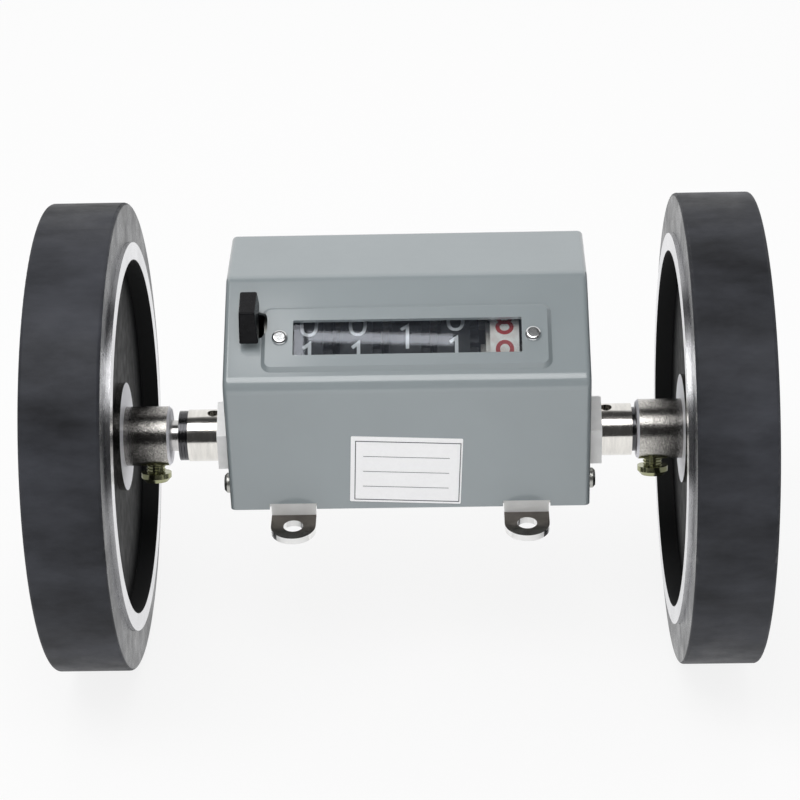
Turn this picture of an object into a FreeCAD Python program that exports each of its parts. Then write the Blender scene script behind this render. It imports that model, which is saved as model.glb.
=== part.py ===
import FreeCAD, Part
import math
import os
import re

import Sketcher

# Cable length counter: a number-drum counter in a sheet steel case that stands on four feet.
# A shaft runs through the case and carries a rubber-tyred measuring wheel at each end.
# X runs along the wheel shaft, Y away from the reader of the window and Z up. The origin is the
# centre of the four foot holes, on the underside of the feet. Millimetres and degrees.

doc = FreeCAD.newDocument("cable_length_counter")
sheet = doc.addObject("Spreadsheet::Sheet", "Sizes")

DRIVING_SIZES = [
    # Case
    ("case_width", 80.0, "outside width along the shaft"),
    ("case_depth", 44.6, "outside depth, front to back"),
    ("case_height", 46.0, "outside height, bottom edge to top"),
    ("front_height", 32.1, "height of the upright front face"),
    ("top_depth", 21.0, "depth of the level top face"),
    ("wall", 1.0, "sheet thickness of the cover"),
    ("bend_radius", 4.0, "outside radius where the sloping face meets front and top"),
    ("back_radius", 1.3, "outside radius of the top rear bend"),
    ("edge_radius", 1.2, "outside radius along the two sides"),
    ("case_lift", 3.9, "underside of the base plate above the underside of the feet"),
    # Window in the sloping face
    ("panel_side", 6.7375, "raised panel past the window on each side, at its foot"),
    ("panel_height", 16.2, "raised panel, up the slope, at its foot"),
    ("panel_radius", 2.2, "corner radius of the raised panel at its foot"),
    ("panel_rise", 0.9, "how far the panel is pressed out"),
    ("panel_run", 0.9, "width of the sloping rim of the panel"),
    ("panel_centre", 11.45, "centre of the window up the slope from the front bend"),
    ("window_overlap_left", 2.125, "row of drums past the window on the left"),
    ("window_overlap_right", 1.7, "row of drums past the window on the right"),
    ("window_height", 8.7, "window opening, up the slope"),
    ("window_radius", 0.3, "corner radius of the opening"),
    ("lens_thickness", 1.0, "clear pane behind the window"),
    ("lens_margin", 0.4, "gap between the pane and the rim of the pressed recess"),
    ("rivet_offset", 2.6375, "rivet beside the window"),
    ("rivet_head_radius", 1.77, "rivet head"),
    ("rivet_head_height", 0.75, "rivet head"),
    ("rivet_shank_radius", 1.0, "rivet shank"),
    ("rivet_tail_radius", 1.4, "upset tail under the pane"),
    ("rivet_tail_height", 0.35, "upset tail under the pane"),
    ("label_width", 24.6, "paper label on the front face"),
    ("label_height", 17.0, "paper label on the front face"),
    ("label_thickness", 0.15, "paper label"),
    ("label_shift", -0.6, "centre of the label along the shaft"),
    ("label_level", 10.0, "centre of the label above the bottom edge of the cover"),
    ("label_tilt", 2.6, "the label is stuck on slightly askew, degrees"),
    # Frame inside the case
    ("plate", 1.5, "sheet thickness of base plate and side plates"),
    ("cover_fit", 0.25, "gap between the base plate and the inside of the cover"),
    ("foot_width", 10.0, "foot tab"),
    ("foot_spacing_x", 52.0, "foot holes, along the shaft"),
    ("foot_reach", 3.1, "foot hole outside the case"),
    ("foot_hole_radius", 2.2, "hole for an M4 screw"),
    ("notch_margin", 0.25, "gap beside a foot in the notch of the cover"),
    ("notch_height", 1.5, "notch above the underside of the base plate"),
    ("left_plate_inset", 10.0, "inner face of the left side plate from the side of the case"),
    ("right_plate_inset", 7.4, "inner face of the right side plate from the side of the case"),
    ("plate_setback", 2.8, "side plate from the front and back of the case"),
    ("plate_headroom", 3.9, "side plate under the top of the case"),
    ("plate_front_gap", 4.0, "front edge of a side plate under the front bend"),
    ("plate_bend_gap", 0.2, "bend in the side plates' top behind the top bend of the case"),
    ("flange", 8.0, "bent foot of a side plate"),
    ("frame_screw_inset", 4.0, "screws that hold the side plates down, from the edge of the bent foot"),
    ("frame_screw_setback", 6.5, "screws that hold the side plates down, from the ends of the plates"),
    ("lug_width", 5.0, "upright lug of the base plate that takes a cover screw"),
    ("lug_over", 4.5, "top of the lug above its screw"),
    ("cover_screw_inset", 3.55, "cover screw behind the front face"),
    ("cover_screw_level", 5.0, "cover screw above the underside of the base plate"),
    ("screw_radius", 1.2, "M2.5 thread"),
    ("screw_head_radius", 2.25, "M2.5 pan head"),
    ("screw_head_height", 1.35, "M2.5 pan head"),
    ("screw_length", 3.4, "M3 thread length"),
    ("screw_slot", 0.6, "driver slot, width and depth"),
    ("screw_play", 0.1, "radial play round a screw or rivet"),
    ("tie_rod_radius", 1.5, "rods between the side plates"),
    ("tie_front_inset", 3.0, "front tie rod from the front of the plates"),
    ("tie_front_level", 14.0, "front tie rod above the underside of the feet"),
    ("tie_back_inset", 3.5, "rear tie rod from the back of the plates"),
    ("tie_back_level", 12.5, "rear tie rod above the underside of the feet"),
    ("tie_end", 0.8, "riveted end of a tie rod outside the plate"),
    ("tie_shoulder", 0.45, "shoulder of a tie rod against a plate"),
    # Wheel shaft and its bearings
    ("axle_setback", 17.15, "wheel shaft behind the front face"),
    ("bush_floor_gap", 0.6, "shoulder of a bush above the base plate"),
    ("shaft_radius", 3.5, "wheel shaft"),
    ("shaft_proud", 0.7, "wheel shaft past the riveted end of a hub"),
    ("wheelset_shift", -1.5, "middle of the wheel set along the shaft"),
    ("running_fit", 0.05, "radial play of a running fit"),
    ("assembly_fit", 0.03, "radial play of a push fit"),
    ("bush_radius", 5.9, "bearing bush"),
    ("bush_stand", 10.0, "outer end of a bush from the case"),
    ("bush_shoulder_radius", 7.0, "shoulder between side plate and cover"),
    ("bush_spigot_radius", 5.4, "spigot through the side plate"),
    ("bush_collar", 0.5, "riveted inner end of the spigot, along the shaft"),
    ("bush_collar_overlap", 0.4, "riveted inner end of the spigot past its hole"),
    ("bush_play", 0.15, "radial gap round the bush in the cover slot"),
    ("oil_hole_radius", 1.3, "oil hole in the bush"),
    ("oil_hole_inset", 5.7, "oil hole from the outer end of the bush"),
    ("nut_flats", 15.0, "hexagon nut on the bush"),
    ("nut_thickness", 3.0, "hexagon nut on the bush"),
    ("nut_gap", 0.1, "nut from the cover"),
    ("washer_count", 3, "thrust washers on the left"),
    ("washer_radius", 5.65, "thrust washers on the left"),
    ("washer_thickness", 0.55, "thrust washers on the left"),
    ("washer_step", 0.7, "from one thrust washer to the next"),
    ("ring_radius", 5.0, "retaining ring on the right"),
    ("ring_thickness", 0.8, "retaining ring on the right"),
    ("end_play", 0.12, "axial play beside a bush"),
    # Measuring wheels
    ("tyre_radius", 53.05, "a third of a metre round"),
    ("tyre_width", 17.0, "rubber tyre"),
    ("wheel_stand", 21.4, "inner face of a tyre from the case, with the wheel set in the middle"),
    ("tyre_edge", 0.8, "rounding of the tread's edges"),
    ("tyre_fit", 0.05, "joint between tyre and rim"),
    ("tyre_thickness", 8.95, "rubber over the metal rim"),
    ("rim_thickness", 4.05, "metal band under the tyre"),
    ("rim_width", 17.0, "metal band under the tyre"),
    ("rim_proud", 1.0, "rim stands inward of the tyre"),
    ("web_depth", 3.9, "disc behind the rim's inner edge"),
    ("web_thickness", 4.0, "disc pressed into the rim"),
    ("web_edge", 0.6, "bevel round the disc"),
    ("hub_radius", 6.75, "hub barrel"),
    ("hub_length", 10.2, "hub barrel in front of its flange"),
    ("hub_chamfer", 0.5, "edge of the hub"),
    ("hub_flange_radius", 12.25, "hub flange"),
    ("hub_flange", 1.5, "hub flange thickness"),
    ("hub_spigot_radius", 5.5, "spigot through the web"),
    ("hub_tail_radius", 6.2, "riveted end of the spigot"),
    ("hub_tail", 0.6, "riveted end of the spigot"),
    ("hub_screw_inset", 3.85, "hub screw from the end of the hub"),
    ("hub_screw_tilt", 20.0, "hub screw forward of straight down, degrees"),
    ("hub_screw_radius", 1.95, "M4 thread"),
    ("hub_screw_head_radius", 3.45, "M4 pan head"),
    ("hub_screw_head", 2.3, "M4 pan head height"),
    ("hub_screw_back_off", 1.65, "bare thread between hub and head"),
    ("hub_screw_slot", 1.0, "driver slot, width and depth"),
    ("thread_gap", 0.05, "hub screw from the shaft"),
    # Drive from the wheel shaft to the drums
    ("pressure_angle", 20.0, "of all gear teeth, degrees"),
    ("drive_module", 0.5, "module of pinion and counter gear"),
    ("drive_pinion_teeth", 17, "teeth cut on the wheel shaft"),
    ("counter_gear_teeth", 51, "three wheel turns to a turn of the last drum"),
    ("drive_addendum", 1.0, "tooth height over the pitch circle, in modules"),
    ("drive_dedendum", 1.25, "tooth depth under the pitch circle, in modules"),
    ("drive_backlash", 0.08, "play between the teeth"),
    ("counter_gear_gap", 1.2, "counter gear from the right side plate"),
    ("counter_gear_width", 2.4, "counter gear"),
    ("pinion_overlap", 0.3, "pinion stands past the counter gear on each side"),
    ("counter_lean", 6.75, "counter shaft behind the wheel shaft, degrees from upright"),
    ("counter_shaft_radius", 1.5, "shaft of the number drums"),
    ("shaft_end", 1.4, "small shafts outside the side plates"),
    ("clip_radius", 2.7, "clips on the ends of the small shafts"),
    ("clip_thickness", 0.5, "clips on the ends of the small shafts"),
    # Number drums
    ("drum_radius", 12.5, "number drum"),
    ("drum_gap", 4.4, "between the rims of two drums"),
    ("drum_depth", 2.489, "drum under the plane of the sloping face"),
    ("drum_room_left", 3.125, "row of drums from the left side plate"),
    ("drum_room_right", 5.725, "row of drums from the right side plate"),
    ("drum_recess", 0.5, "hollow in the sides of a drum"),
    ("drum_rim", 1.6, "rim of a drum outside its hollow"),
    ("drum_hub_radius", 4.0, "hub of the last drum, which carries the counter gear"),
    ("lock_disc_radius", 8.8, "locking disc on the left of a drum"),
    ("lock_disc_width", 0.9, "locking disc"),
    ("heart_low", 2.6, "heart cam, lowest radius"),
    ("heart_high", 6.6, "heart cam, highest radius"),
    ("heart_width", 1.1, "heart cam"),
    ("transfer_module", 1.05, "module of drum gears and transfer pinions"),
    ("drum_gear_teeth", 20, "gear on the right of a drum"),
    ("drum_gear_width", 1.9, "gear on the right of a drum"),
    ("transfer_teeth", 8, "transfer pinion"),
    ("transfer_addendum", 0.6, "tooth height over the pitch circle, in modules"),
    ("transfer_dedendum", 1.0, "tooth depth under the pitch circle, in modules"),
    ("transfer_backlash", 0.3, "play between drum gear and transfer pinion"),
    ("transfer_side_gap", 0.3, "transfer pinion from the drums beside it"),
    ("transfer_lean", 25.0, "transfer pinions above the level of the counter shaft, degrees"),
    ("pinion_shaft_radius", 1.0, "shaft of the transfer pinions"),
    # Reset lever
    ("reset_behind", 13.2152, "pivot of the lever behind the wheel shaft"),
    ("reset_above", 5.1393, "pivot of the lever above the wheel shaft"),
    ("lever_inset", 5.75, "arm and knob from the left side of the case"),
    ("lever_travel", 7.0, "swing of the lever, degrees"),
    ("lever_gap", 0.5, "gap at the ends of the slot"),
    ("arm_width", 2.0, "arm across its swing"),
    ("arm_thickness", 1.2, "arm along the shaft"),
    ("arm_boss_radius", 3.2, "eye of the arm round its shaft"),
    ("arm_tip", 6.0, "end of the arm above the sloping face"),
    ("slot_offset", 0.95, "middle of the slot to the right of the arm"),
    ("slot_width", 5.8, "slot along the shaft"),
    ("slot_flat", 1.0, "half the straight part of the slot's sides"),
    ("knob_width", 4.2, "knob along the shaft, at its foot"),
    ("knob_base", 1.6, "underside of the knob above the sloping face"),
    ("knob_draft", 3.0, "slope of each side of the knob, degrees"),
    ("knob_front", 7.75, "front lower edge of the knob before the arm"),
    ("knob_face", 8.52, "front face of the knob"),
    ("knob_top", 8.15, "top face of the knob"),
    ("knob_lean", 23.8, "front face of the knob leans back from square, degrees"),
    ("knob_rear", 2.6, "rear lower edge of the knob behind the arm"),
    ("knob_edge", 0.4, "rounding of the knob"),
    ("reset_shaft_radius", 1.5, "shaft of lever and hammers"),
    ("hammer_reach", 9.4, "end of a hammer from its shaft"),
    ("hammer_angle", 14.5, "hammers forward of the arm, degrees, negative behind"),
    ("hammer_width", 2.0, "end of a hammer"),
    ("hammer_boss_radius", 2.8, "eye of a hammer"),
    ("hammer_thickness", 0.9, "hammer along the shaft"),
    ("hammer_gap", 0.12, "hammer from the locking disc"),
    ("spring_wire", 0.35, "wire of the return spring"),
    ("spring_radius", 2.3, "middle of the spring's coil"),
    ("spring_turns", 2, "coil turns"),
    ("spring_leg", 6.0, "straight legs of the spring"),
    ("spring_side_gap", 0.13, "coil from the side plate and from the arm"),
]

for row, (alias, amount, meaning) in enumerate(DRIVING_SIZES, start=1):
    sheet.set(f"A{row}", alias)
    sheet.set(f"B{row}", str(amount))
    sheet.set(f"C{row}", meaning)
    sheet.setAlias(f"B{row}", alias)
doc.recompute()


ALIASES = {alias for alias, _, _ in DRIVING_SIZES}


def size(text):
    """Writes out the sizes that follow from others, and the sheet's name before every alias."""
    def written_out(word):
        if word[0] in FOLLOWING:
            return f"({size(FOLLOWING[word[0]])})"
        return f"Sizes.{word[0]}" if word[0] in ALIASES else word[0]
    return re.sub(r"[a-z_]+", written_out, text)


def value(text):
    """The number that a formula of sizes gives now."""
    result = sheet.evalExpression(size(text))
    return float(getattr(result, "Value", result))


# Places that several pieces share, as formulas of the sizes
SLOPE = "atan((case_height - front_height) / (case_depth - top_depth))"
FRONT_Y = "(0 - case_depth / 2)"
TOP_BEND_Y = "(case_depth / 2 - top_depth)"
AXLE_Y = f"({FRONT_Y} + axle_setback)"
AXLE_Z = "(case_lift + plate + bush_shoulder_radius + bush_floor_gap)"
DRIVE_CENTRES = "(drive_module * (drive_pinion_teeth + counter_gear_teeth) / 2)"
COUNTER_Y = f"({AXLE_Y} + {DRIVE_CENTRES} * sin(counter_lean))"
COUNTER_Z = f"({AXLE_Z} + {DRIVE_CENTRES} * cos(counter_lean))"
AXLE_DEPTH = f"(drum_radius + drum_depth + {DRIVE_CENTRES} * cos({SLOPE} + counter_lean * 1 deg))"
BEND_Z = f"({AXLE_Z} - axle_setback * tan({SLOPE}) + {AXLE_DEPTH} / cos({SLOPE}))"
COVER_LOW = f"({BEND_Z} - front_height)"
TOP_Z = f"({COVER_LOW} + case_height)"
TRANSFER_CENTRES = "(transfer_module * (drum_gear_teeth + transfer_teeth) / 2)"
PINION_Y = f"({COUNTER_Y} + {TRANSFER_CENTRES} * cos(transfer_lean))"
PINION_Z = f"({COUNTER_Z} + {TRANSFER_CENTRES} * sin(transfer_lean))"
RESET_Y = f"({AXLE_Y} + reset_behind)"
RESET_Z = f"({AXLE_Z} + reset_above)"
BASE_TOP = "(case_lift + plate)"
BEND_TURN = f"(wall * tan((90 deg - {SLOPE}) / 2))"
INNER_TOP_Y = f"({TOP_BEND_Y} + wall * tan({SLOPE} / 2))"
PANEL_PINCH = "(wall * tan(atan(panel_rise / panel_run) / 2))"
COVER_INSIDE_X = "(case_width / 2 - wall)"
COVER_INSIDE_Y = "(case_depth / 2 - wall)"
LUG_X = f"({COVER_INSIDE_X} - cover_fit)"
FRAME_SCREW_X = {"(0 - 1)": "(left_plate_gap - flange + frame_screw_inset)",
                 "1": "(right_plate_gap - flange + frame_screw_inset)"}
COVER_SCREW_Y = "(case_depth / 2 - cover_screw_inset)"
COVER_SCREW_Z = "(case_lift + cover_screw_level)"
HUB_END = "(tyre_inner_face - rim_proud + web_depth - hub_flange - hub_length)"
WEB_FACE = "(tyre_inner_face - rim_proud + web_depth)"
BUSH_COLLAR_RADIUS = "(bush_spigot_radius + bush_collar_overlap)"

drum_names = ["thousands", "hundreds", "tens", "units", "tenths"]

# Sizes that follow from others
FOLLOWING = {
    "left_plate_gap": "case_width / 2 - left_plate_inset",
    "right_plate_gap": "case_width / 2 - right_plate_inset",
    "plate_depth": "case_depth - 2 * plate_setback",
    "plate_top": f"{TOP_Z} - plate_headroom",
    "plate_front_top": f"{BEND_Z} - plate_front_gap",
    "plate_top_front": f"{TOP_BEND_Y} + plate_bend_gap",
    "frame_screw_y": "plate_depth / 2 - frame_screw_setback",
    "foot_spacing_y": "case_depth + 2 * foot_reach",
    "axle_height": AXLE_Z,
    "bush_reach": "case_width / 2 + bush_stand",
    "tyre_inner_face": "case_width / 2 + wheel_stand",
    "shaft_half_length": f"{WEB_FACE} + web_thickness + hub_tail + shaft_proud",
    "rim_radius": "tyre_radius - tyre_thickness",
    "rim_bore": "rim_radius - rim_thickness",
    "counter_gear_x": "right_plate_gap - counter_gear_gap - counter_gear_width",
    "row_left": "drum_room_left - left_plate_gap",
    "row_right": "right_plate_gap - drum_room_right",
    "drum_pitch": f"(row_right - row_left) / {len(drum_names)}",
    "drum_width": "drum_pitch - drum_gap",
    "window_left": "row_left + window_overlap_left",
    "window_right": "row_right - window_overlap_right",
    "window_width": "window_right - window_left",
    "panel_width": "window_width + 2 * panel_side",
    "rivet_spacing": "window_width + 2 * rivet_offset",
    "lever_rest": f"({RESET_Y} - {FRONT_Y}) * cos({SLOPE}) + ({RESET_Z} - {BEND_Z}) * sin({SLOPE})",
    "lever_depth": f"({RESET_Y} - {FRONT_Y}) * sin({SLOPE}) - ({RESET_Z} - {BEND_Z}) * cos({SLOPE})",
    "lever_x": "lever_inset - case_width / 2",
    "slot_x": "lever_x + slot_offset",
    "spring_room": "0 - left_plate_gap - plate - lever_x - arm_thickness / 2 - 2 * spring_side_gap",
    "spring_pitch": "(spring_room - spring_wire) / spring_turns",
}


# Drawing helpers

def placement(x, y, z, axis=(0, 0, 1), angle="0"):
    """A placement formula."""
    return (f"create(<<placement>>; create(<<vector>>; {x}; {y}; {z}); "
            f"create(<<rotation>>; create(<<vector>>; {axis[0]}; {axis[1]}; {axis[2]}); {angle}))")


def put(item, x="0", y="0", z="0", axis=(0, 0, 1), angle="0"):
    item.setExpression("Placement", size(placement(x, y, z, axis, angle)))
    return item


def new_body(label):
    body = doc.addObject("PartDesign::Body", label)
    body.Label = label
    return body


def new_sketch(body, role, label, offset=None):
    """A sketch on one of the body's own planes: local x and y are X and Z on XZ, Y and Z on YZ."""
    plane = next(item for item in body.Origin.OriginFeatures if item.Role == role)
    sketch = body.newObject("Sketcher::SketchObject", label)
    sketch.AttachmentSupport = [(plane, "")]
    sketch.MapMode = "FlatFace"
    if offset:
        sketch.setExpression("AttachmentOffset", size(offset))
    return sketch


def bind(sketch, constraint, formula):
    number = sketch.addConstraint(constraint)
    sketch.setExpression(f"Constraints[{number}]", size(formula))


def pin(sketch, item, point, x, y):
    """Holds a point of the sketch at a place given by two formulas."""
    bind(sketch, Sketcher.Constraint("DistanceX", -1, 1, item, point, value(x)), x)
    bind(sketch, Sketcher.Constraint("DistanceY", -1, 1, item, point, value(y)), y)


def draw_outline(sketch, points):
    """A closed outline of straight lines through points given as formulas."""
    spots = [FreeCAD.Vector(value(x), value(y), 0) for x, y in points]
    count = len(spots)
    lines = [sketch.addGeometry(Part.LineSegment(spots[i], spots[(i + 1) % count])) for i in range(count)]
    for i in range(count):
        sketch.addConstraint(Sketcher.Constraint("Coincident", lines[i], 2, lines[(i + 1) % count], 1))
        pin(sketch, lines[i], 1, *points[i])


def draw_circle(sketch, x, y, radius):
    centre = FreeCAD.Vector(value(x), value(y), 0)
    circle = sketch.addGeometry(Part.Circle(centre, FreeCAD.Vector(0, 0, 1), value(radius)))
    pin(sketch, circle, 3, x, y)
    bind(sketch, Sketcher.Constraint("Radius", circle, value(radius)), radius)


def draw_rounded_rectangle(sketch, x, y, width, height, radius):
    """A rectangle about its centre with four equal round corners."""
    half_width, half_height = f"({width}) / 2", f"({height}) / 2"
    corners = [(1, 1), (-1, 1), (-1, -1), (1, -1)]
    lines, arcs, starts, ends = [], [], [], []
    for sx, sy in corners:
        level_end = (f"{x} + {sx} * ({half_width} - {radius})", f"{y} + {sy} * {half_height}")
        upright_end = (f"{x} + {sx} * {half_width}", f"{y} + {sy} * ({half_height} - {radius})")
        first, second = (upright_end, level_end) if sx == sy else (level_end, upright_end)
        starts.append(first)
        ends.append(second)
    for i, (sx, sy) in enumerate(corners):
        centre = FreeCAD.Vector(value(f"{x} + {sx} * ({half_width} - {radius})"),
                                value(f"{y} + {sy} * ({half_height} - {radius})"), 0)
        circle = Part.Circle(centre, FreeCAD.Vector(0, 0, 1), value(radius))
        begin = math.pi / 2 * i
        arcs.append(sketch.addGeometry(Part.ArcOfCircle(circle, begin, begin + math.pi / 2)))
    for i in range(4):
        begin = FreeCAD.Vector(value(ends[i][0]), value(ends[i][1]), 0)
        finish = FreeCAD.Vector(value(starts[(i + 1) % 4][0]), value(starts[(i + 1) % 4][1]), 0)
        lines.append(sketch.addGeometry(Part.LineSegment(begin, finish)))
    for i in range(4):
        sketch.addConstraint(Sketcher.Constraint("Coincident", arcs[i], 2, lines[i], 1))
        sketch.addConstraint(Sketcher.Constraint("Coincident", lines[i], 2, arcs[(i + 1) % 4], 1))
        pin(sketch, arcs[i], 1, *starts[i])
        pin(sketch, arcs[i], 2, *ends[i])
        bind(sketch, Sketcher.Constraint("Radius", arcs[i], value(radius)), radius)


def add_feature(body, kind, sketch, length, midplane=False, reverse=False):
    """A pad or pocket of a sketch."""
    feature = body.newObject(f"PartDesign::{kind}", f"{sketch.Name}{kind}")
    feature.Profile = sketch
    feature.Midplane = midplane
    feature.Reversed = reverse
    feature.setExpression("Length", size(length))
    return feature


def add_loft(body, kind, sections):
    loft = body.newObject(f"PartDesign::{kind}", f"{sections[0].Name}Loft")
    loft.Profile = sections[0]
    loft.Sections = sections[1:]
    loft.Ruled = True
    return loft


def add_fillet(body, radius, chosen, label):
    """Rounds the edges of the body so far for which chosen says yes."""
    doc.recompute()
    base = body.Tip
    names = [f"Edge{i}" for i, edge in enumerate(base.Shape.Edges, start=1) if chosen(edge)]
    fillet = body.newObject("PartDesign::Fillet", label)
    fillet.Base = (base, names)
    fillet.setExpression("Radius", size(radius))
    return fillet


def turned(label, points, about="H_Axis"):
    """A turned piece: its outline stands on the XZ plane and turns about X or, with V_Axis, Z."""
    body = new_body(label)
    sketch = new_sketch(body, "XZ_Plane", f"{label}_outline")
    draw_outline(sketch, points)
    revolution = body.newObject("PartDesign::Revolution", f"{label}_turn")
    revolution.Profile = sketch
    revolution.ReferenceAxis = (sketch, [about])
    revolution.Angle = 360
    return body


def tube(label, start, end, inner, outer):
    """A plain ring or, with an inner radius of 0, a plain round bar along X."""
    return turned(label, [(start, inner), (end, inner), (end, outer), (start, outer)])


def group(label, items):
    """Several like pieces under one name."""
    compound = doc.addObject("Part::Compound", label)
    compound.Label = label
    compound.Links = items
    return compound


# Outlines of heads, as shares of a head's radius and height
PAN_HEAD = [(1, 0), (1, 0.5), (0.75, 0.92), (0, 1)]
DOME_HEAD = [(1, 0), (1, 0.35), (0.92, 0.72), (0.76, 0.94), (0.6, 1), (0, 1)]


def head_outline(shares, radius, height):
    return [(f"{across} * {radius}", f"{up} * {height}") for across, up in shares]


def screw(label, radius, length, head_radius, head, slot):
    """A slotted pan head screw on Z: the thread runs down from 0 and the head up."""
    body = turned(label, [("0", f"0 - ({length})"), (radius, f"0 - ({length})"), (radius, "0")]
                  + head_outline(PAN_HEAD, head_radius, head), "V_Axis")
    groove = new_sketch(body, "XZ_Plane", f"{label}_slot")
    half, low, high = f"2 * {head_radius}", f"{head} - {slot}", f"{head} + {slot}"
    draw_outline(groove, [(f"0 - {half}", low), (half, low), (half, high), (f"0 - {half}", high)])
    add_feature(body, "Pocket", groove, slot, midplane=True)
    return body


def gear_outline(module, teeth, addendum, dedendum, backlash):
    """A spur gear's outline in the YZ plane, with a tooth on +Y: flanks follow the involute."""
    pressure = math.radians(value("pressure_angle"))
    pitch = module * teeth / 2
    base = pitch * math.cos(pressure)
    tip = pitch + addendum * module
    root = pitch - dedendum * module
    half_tooth = math.pi / (2 * teeth) - backlash / (2 * pitch)

    def half_angle(radius):
        reach = math.acos(min(1.0, base / radius))
        return half_tooth + math.tan(pressure) - pressure - math.tan(reach) + reach

    def point(radius, angle):
        return FreeCAD.Vector(0, radius * math.cos(angle), radius * math.sin(angle))

    foot = max(base, root)
    edges = []
    for tooth in range(teeth):
        middle = 2 * math.pi * tooth / teeth
        following = middle + 2 * math.pi / teeth
        middle_radius = (foot + tip) / 2
        rising = [point(r, middle - half_angle(r)) for r in (foot, middle_radius, tip)]
        falling = [point(r, middle + half_angle(r)) for r in (tip, middle_radius, foot)]
        low_start = point(root, middle - half_angle(foot))
        low_end = point(root, middle + half_angle(foot))
        next_low = point(root, following - half_angle(foot))
        if root < base:
            edges.append(Part.LineSegment(low_start, rising[0]).toShape())
        edges.append(Part.Arc(*rising).toShape())
        edges.append(Part.LineSegment(rising[2], falling[0]).toShape())
        edges.append(Part.Arc(*falling).toShape())
        if root < base:
            edges.append(Part.LineSegment(falling[2], low_end).toShape())
        edges.append(Part.LineSegment(low_end, next_low).toShape())
    return Part.Wire(Part.__sortEdges__(edges))


def gear(label, module, teeth, width, bore, addendum, dedendum, backlash):
    """A spur gear along +X from 0, from formulas of the sizes."""
    outline = gear_outline(value(module), round(value(teeth)), value(addendum), value(dedendum),
                           value(backlash))
    solid = Part.Face(outline).extrude(FreeCAD.Vector(value(width), 0, 0))
    if value(bore) > 0:
        hole = Part.makeCylinder(value(bore), value(width) * 3, FreeCAD.Vector(-value(width), 0, 0),
                                 FreeCAD.Vector(1, 0, 0))
        solid = solid.cut(hole)
    item = doc.addObject("Part::Feature", label)
    item.Shape = solid
    return item


def fused(label, items):
    join = doc.addObject("Part::MultiFuse", label)
    join.Label = label
    join.Shapes = items
    return join


# Edges that a rounding looks for

NEAR = 1e-4


def level(edge, coordinate, amount):
    """Whether an edge lies at one value of x, y or z."""
    return all(abs(getattr(vertex.Point, coordinate) - amount) < NEAR for vertex in edge.Vertexes)


def along_x(edge):
    ends = [vertex.Point for vertex in edge.Vertexes]
    return len(ends) == 2 and abs(abs((ends[1] - ends[0]).normalize().x) - 1) < NEAR


def round_edge(edge, radius):
    return isinstance(edge.Curve, Part.Circle) and abs(edge.Curve.Radius - radius) < NEAR


# Cover

def slope_plane(height, up="0"):
    """The plane of the sloping face, at a height over it; local y runs up the slope."""
    y = f"{FRONT_Y} + ({up}) * cos({SLOPE}) - ({height}) * sin({SLOPE})"
    z = f"{BEND_Z} + ({up}) * sin({SLOPE}) + ({height}) * cos({SLOPE})"
    return placement("0", y, z, (1, 0, 0), SLOPE)


def cover_shell(body):
    outline = new_sketch(body, "YZ_Plane", "cover_outline")
    draw_outline(outline, [(FRONT_Y, COVER_LOW), (FRONT_Y, BEND_Z), (TOP_BEND_Y, TOP_Z),
                           ("case_depth / 2", TOP_Z), ("case_depth / 2", COVER_LOW)])
    add_feature(body, "Pad", outline, "case_width", midplane=True)
    front_y, bend_z = value(FRONT_Y), value(BEND_Z)
    top_y, top_z = value(TOP_BEND_Y), value(TOP_Z)
    back_y = value("case_depth / 2")
    bends = [(front_y, bend_z), (top_y, top_z)]
    add_fillet(body, "bend_radius",
               lambda edge: along_x(edge) and any(level(edge, "y", y) and level(edge, "z", z)
                                                  for y, z in bends), "cover_bends")
    add_fillet(body, "back_radius",
               lambda edge: along_x(edge) and level(edge, "y", back_y) and level(edge, "z", top_z),
               "cover_back_bend")
    side_x, low_z = value("case_width / 2"), value(COVER_LOW)
    add_fillet(body, "edge_radius",
               lambda edge: (level(edge, "x", side_x) or level(edge, "x", -side_x))
               and not level(edge, "z", low_z), "cover_side_edges")
    hollow = new_sketch(body, "YZ_Plane", "cover_hollow")
    draw_outline(hollow, [(f"{FRONT_Y} + wall", f"{COVER_LOW} - wall"),
                          (f"{FRONT_Y} + wall", f"{BEND_Z} - {BEND_TURN}"), (INNER_TOP_Y, f"{TOP_Z} - wall"),
                          (COVER_INSIDE_Y, f"{TOP_Z} - wall"), (COVER_INSIDE_Y, f"{COVER_LOW} - wall")])
    add_feature(body, "Pocket", hollow, "case_width - 2 * wall", midplane=True)
    inner_bends = [(value(f"{FRONT_Y} + wall"), value(f"{BEND_Z} - {BEND_TURN}")),
                   (value(INNER_TOP_Y), value(f"{TOP_Z} - wall"))]
    add_fillet(body, "bend_radius - wall",
               lambda edge: along_x(edge) and any(level(edge, "y", y) and level(edge, "z", z)
                                                  for y, z in inner_bends), "cover_inner_bends")


def cover_panel(body):
    """The panel pressed out round the window, with the same step on the inside."""
    for side, kind, base in (("outer", "AdditiveLoft", "0"), ("inner", "SubtractiveLoft", "0 - wall")):
        pinch = "0" if side == "outer" else PANEL_PINCH
        sections = []
        for part, rise, inset in (("foot", "0", "0"), ("face", "panel_rise", "panel_run")):
            sketch = new_sketch(body, "XY_Plane", f"panel_{side}_{part}",
                                slope_plane(f"{base} + {rise}", "panel_centre"))
            inward = f"({pinch} + {inset})"
            draw_rounded_rectangle(sketch, "0", "0", f"panel_width - 2 * {inward}",
                                   f"panel_height - 2 * {inward}", f"(panel_radius - {inward})")
            sections.append(sketch)
        add_loft(body, kind, sections)


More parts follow.
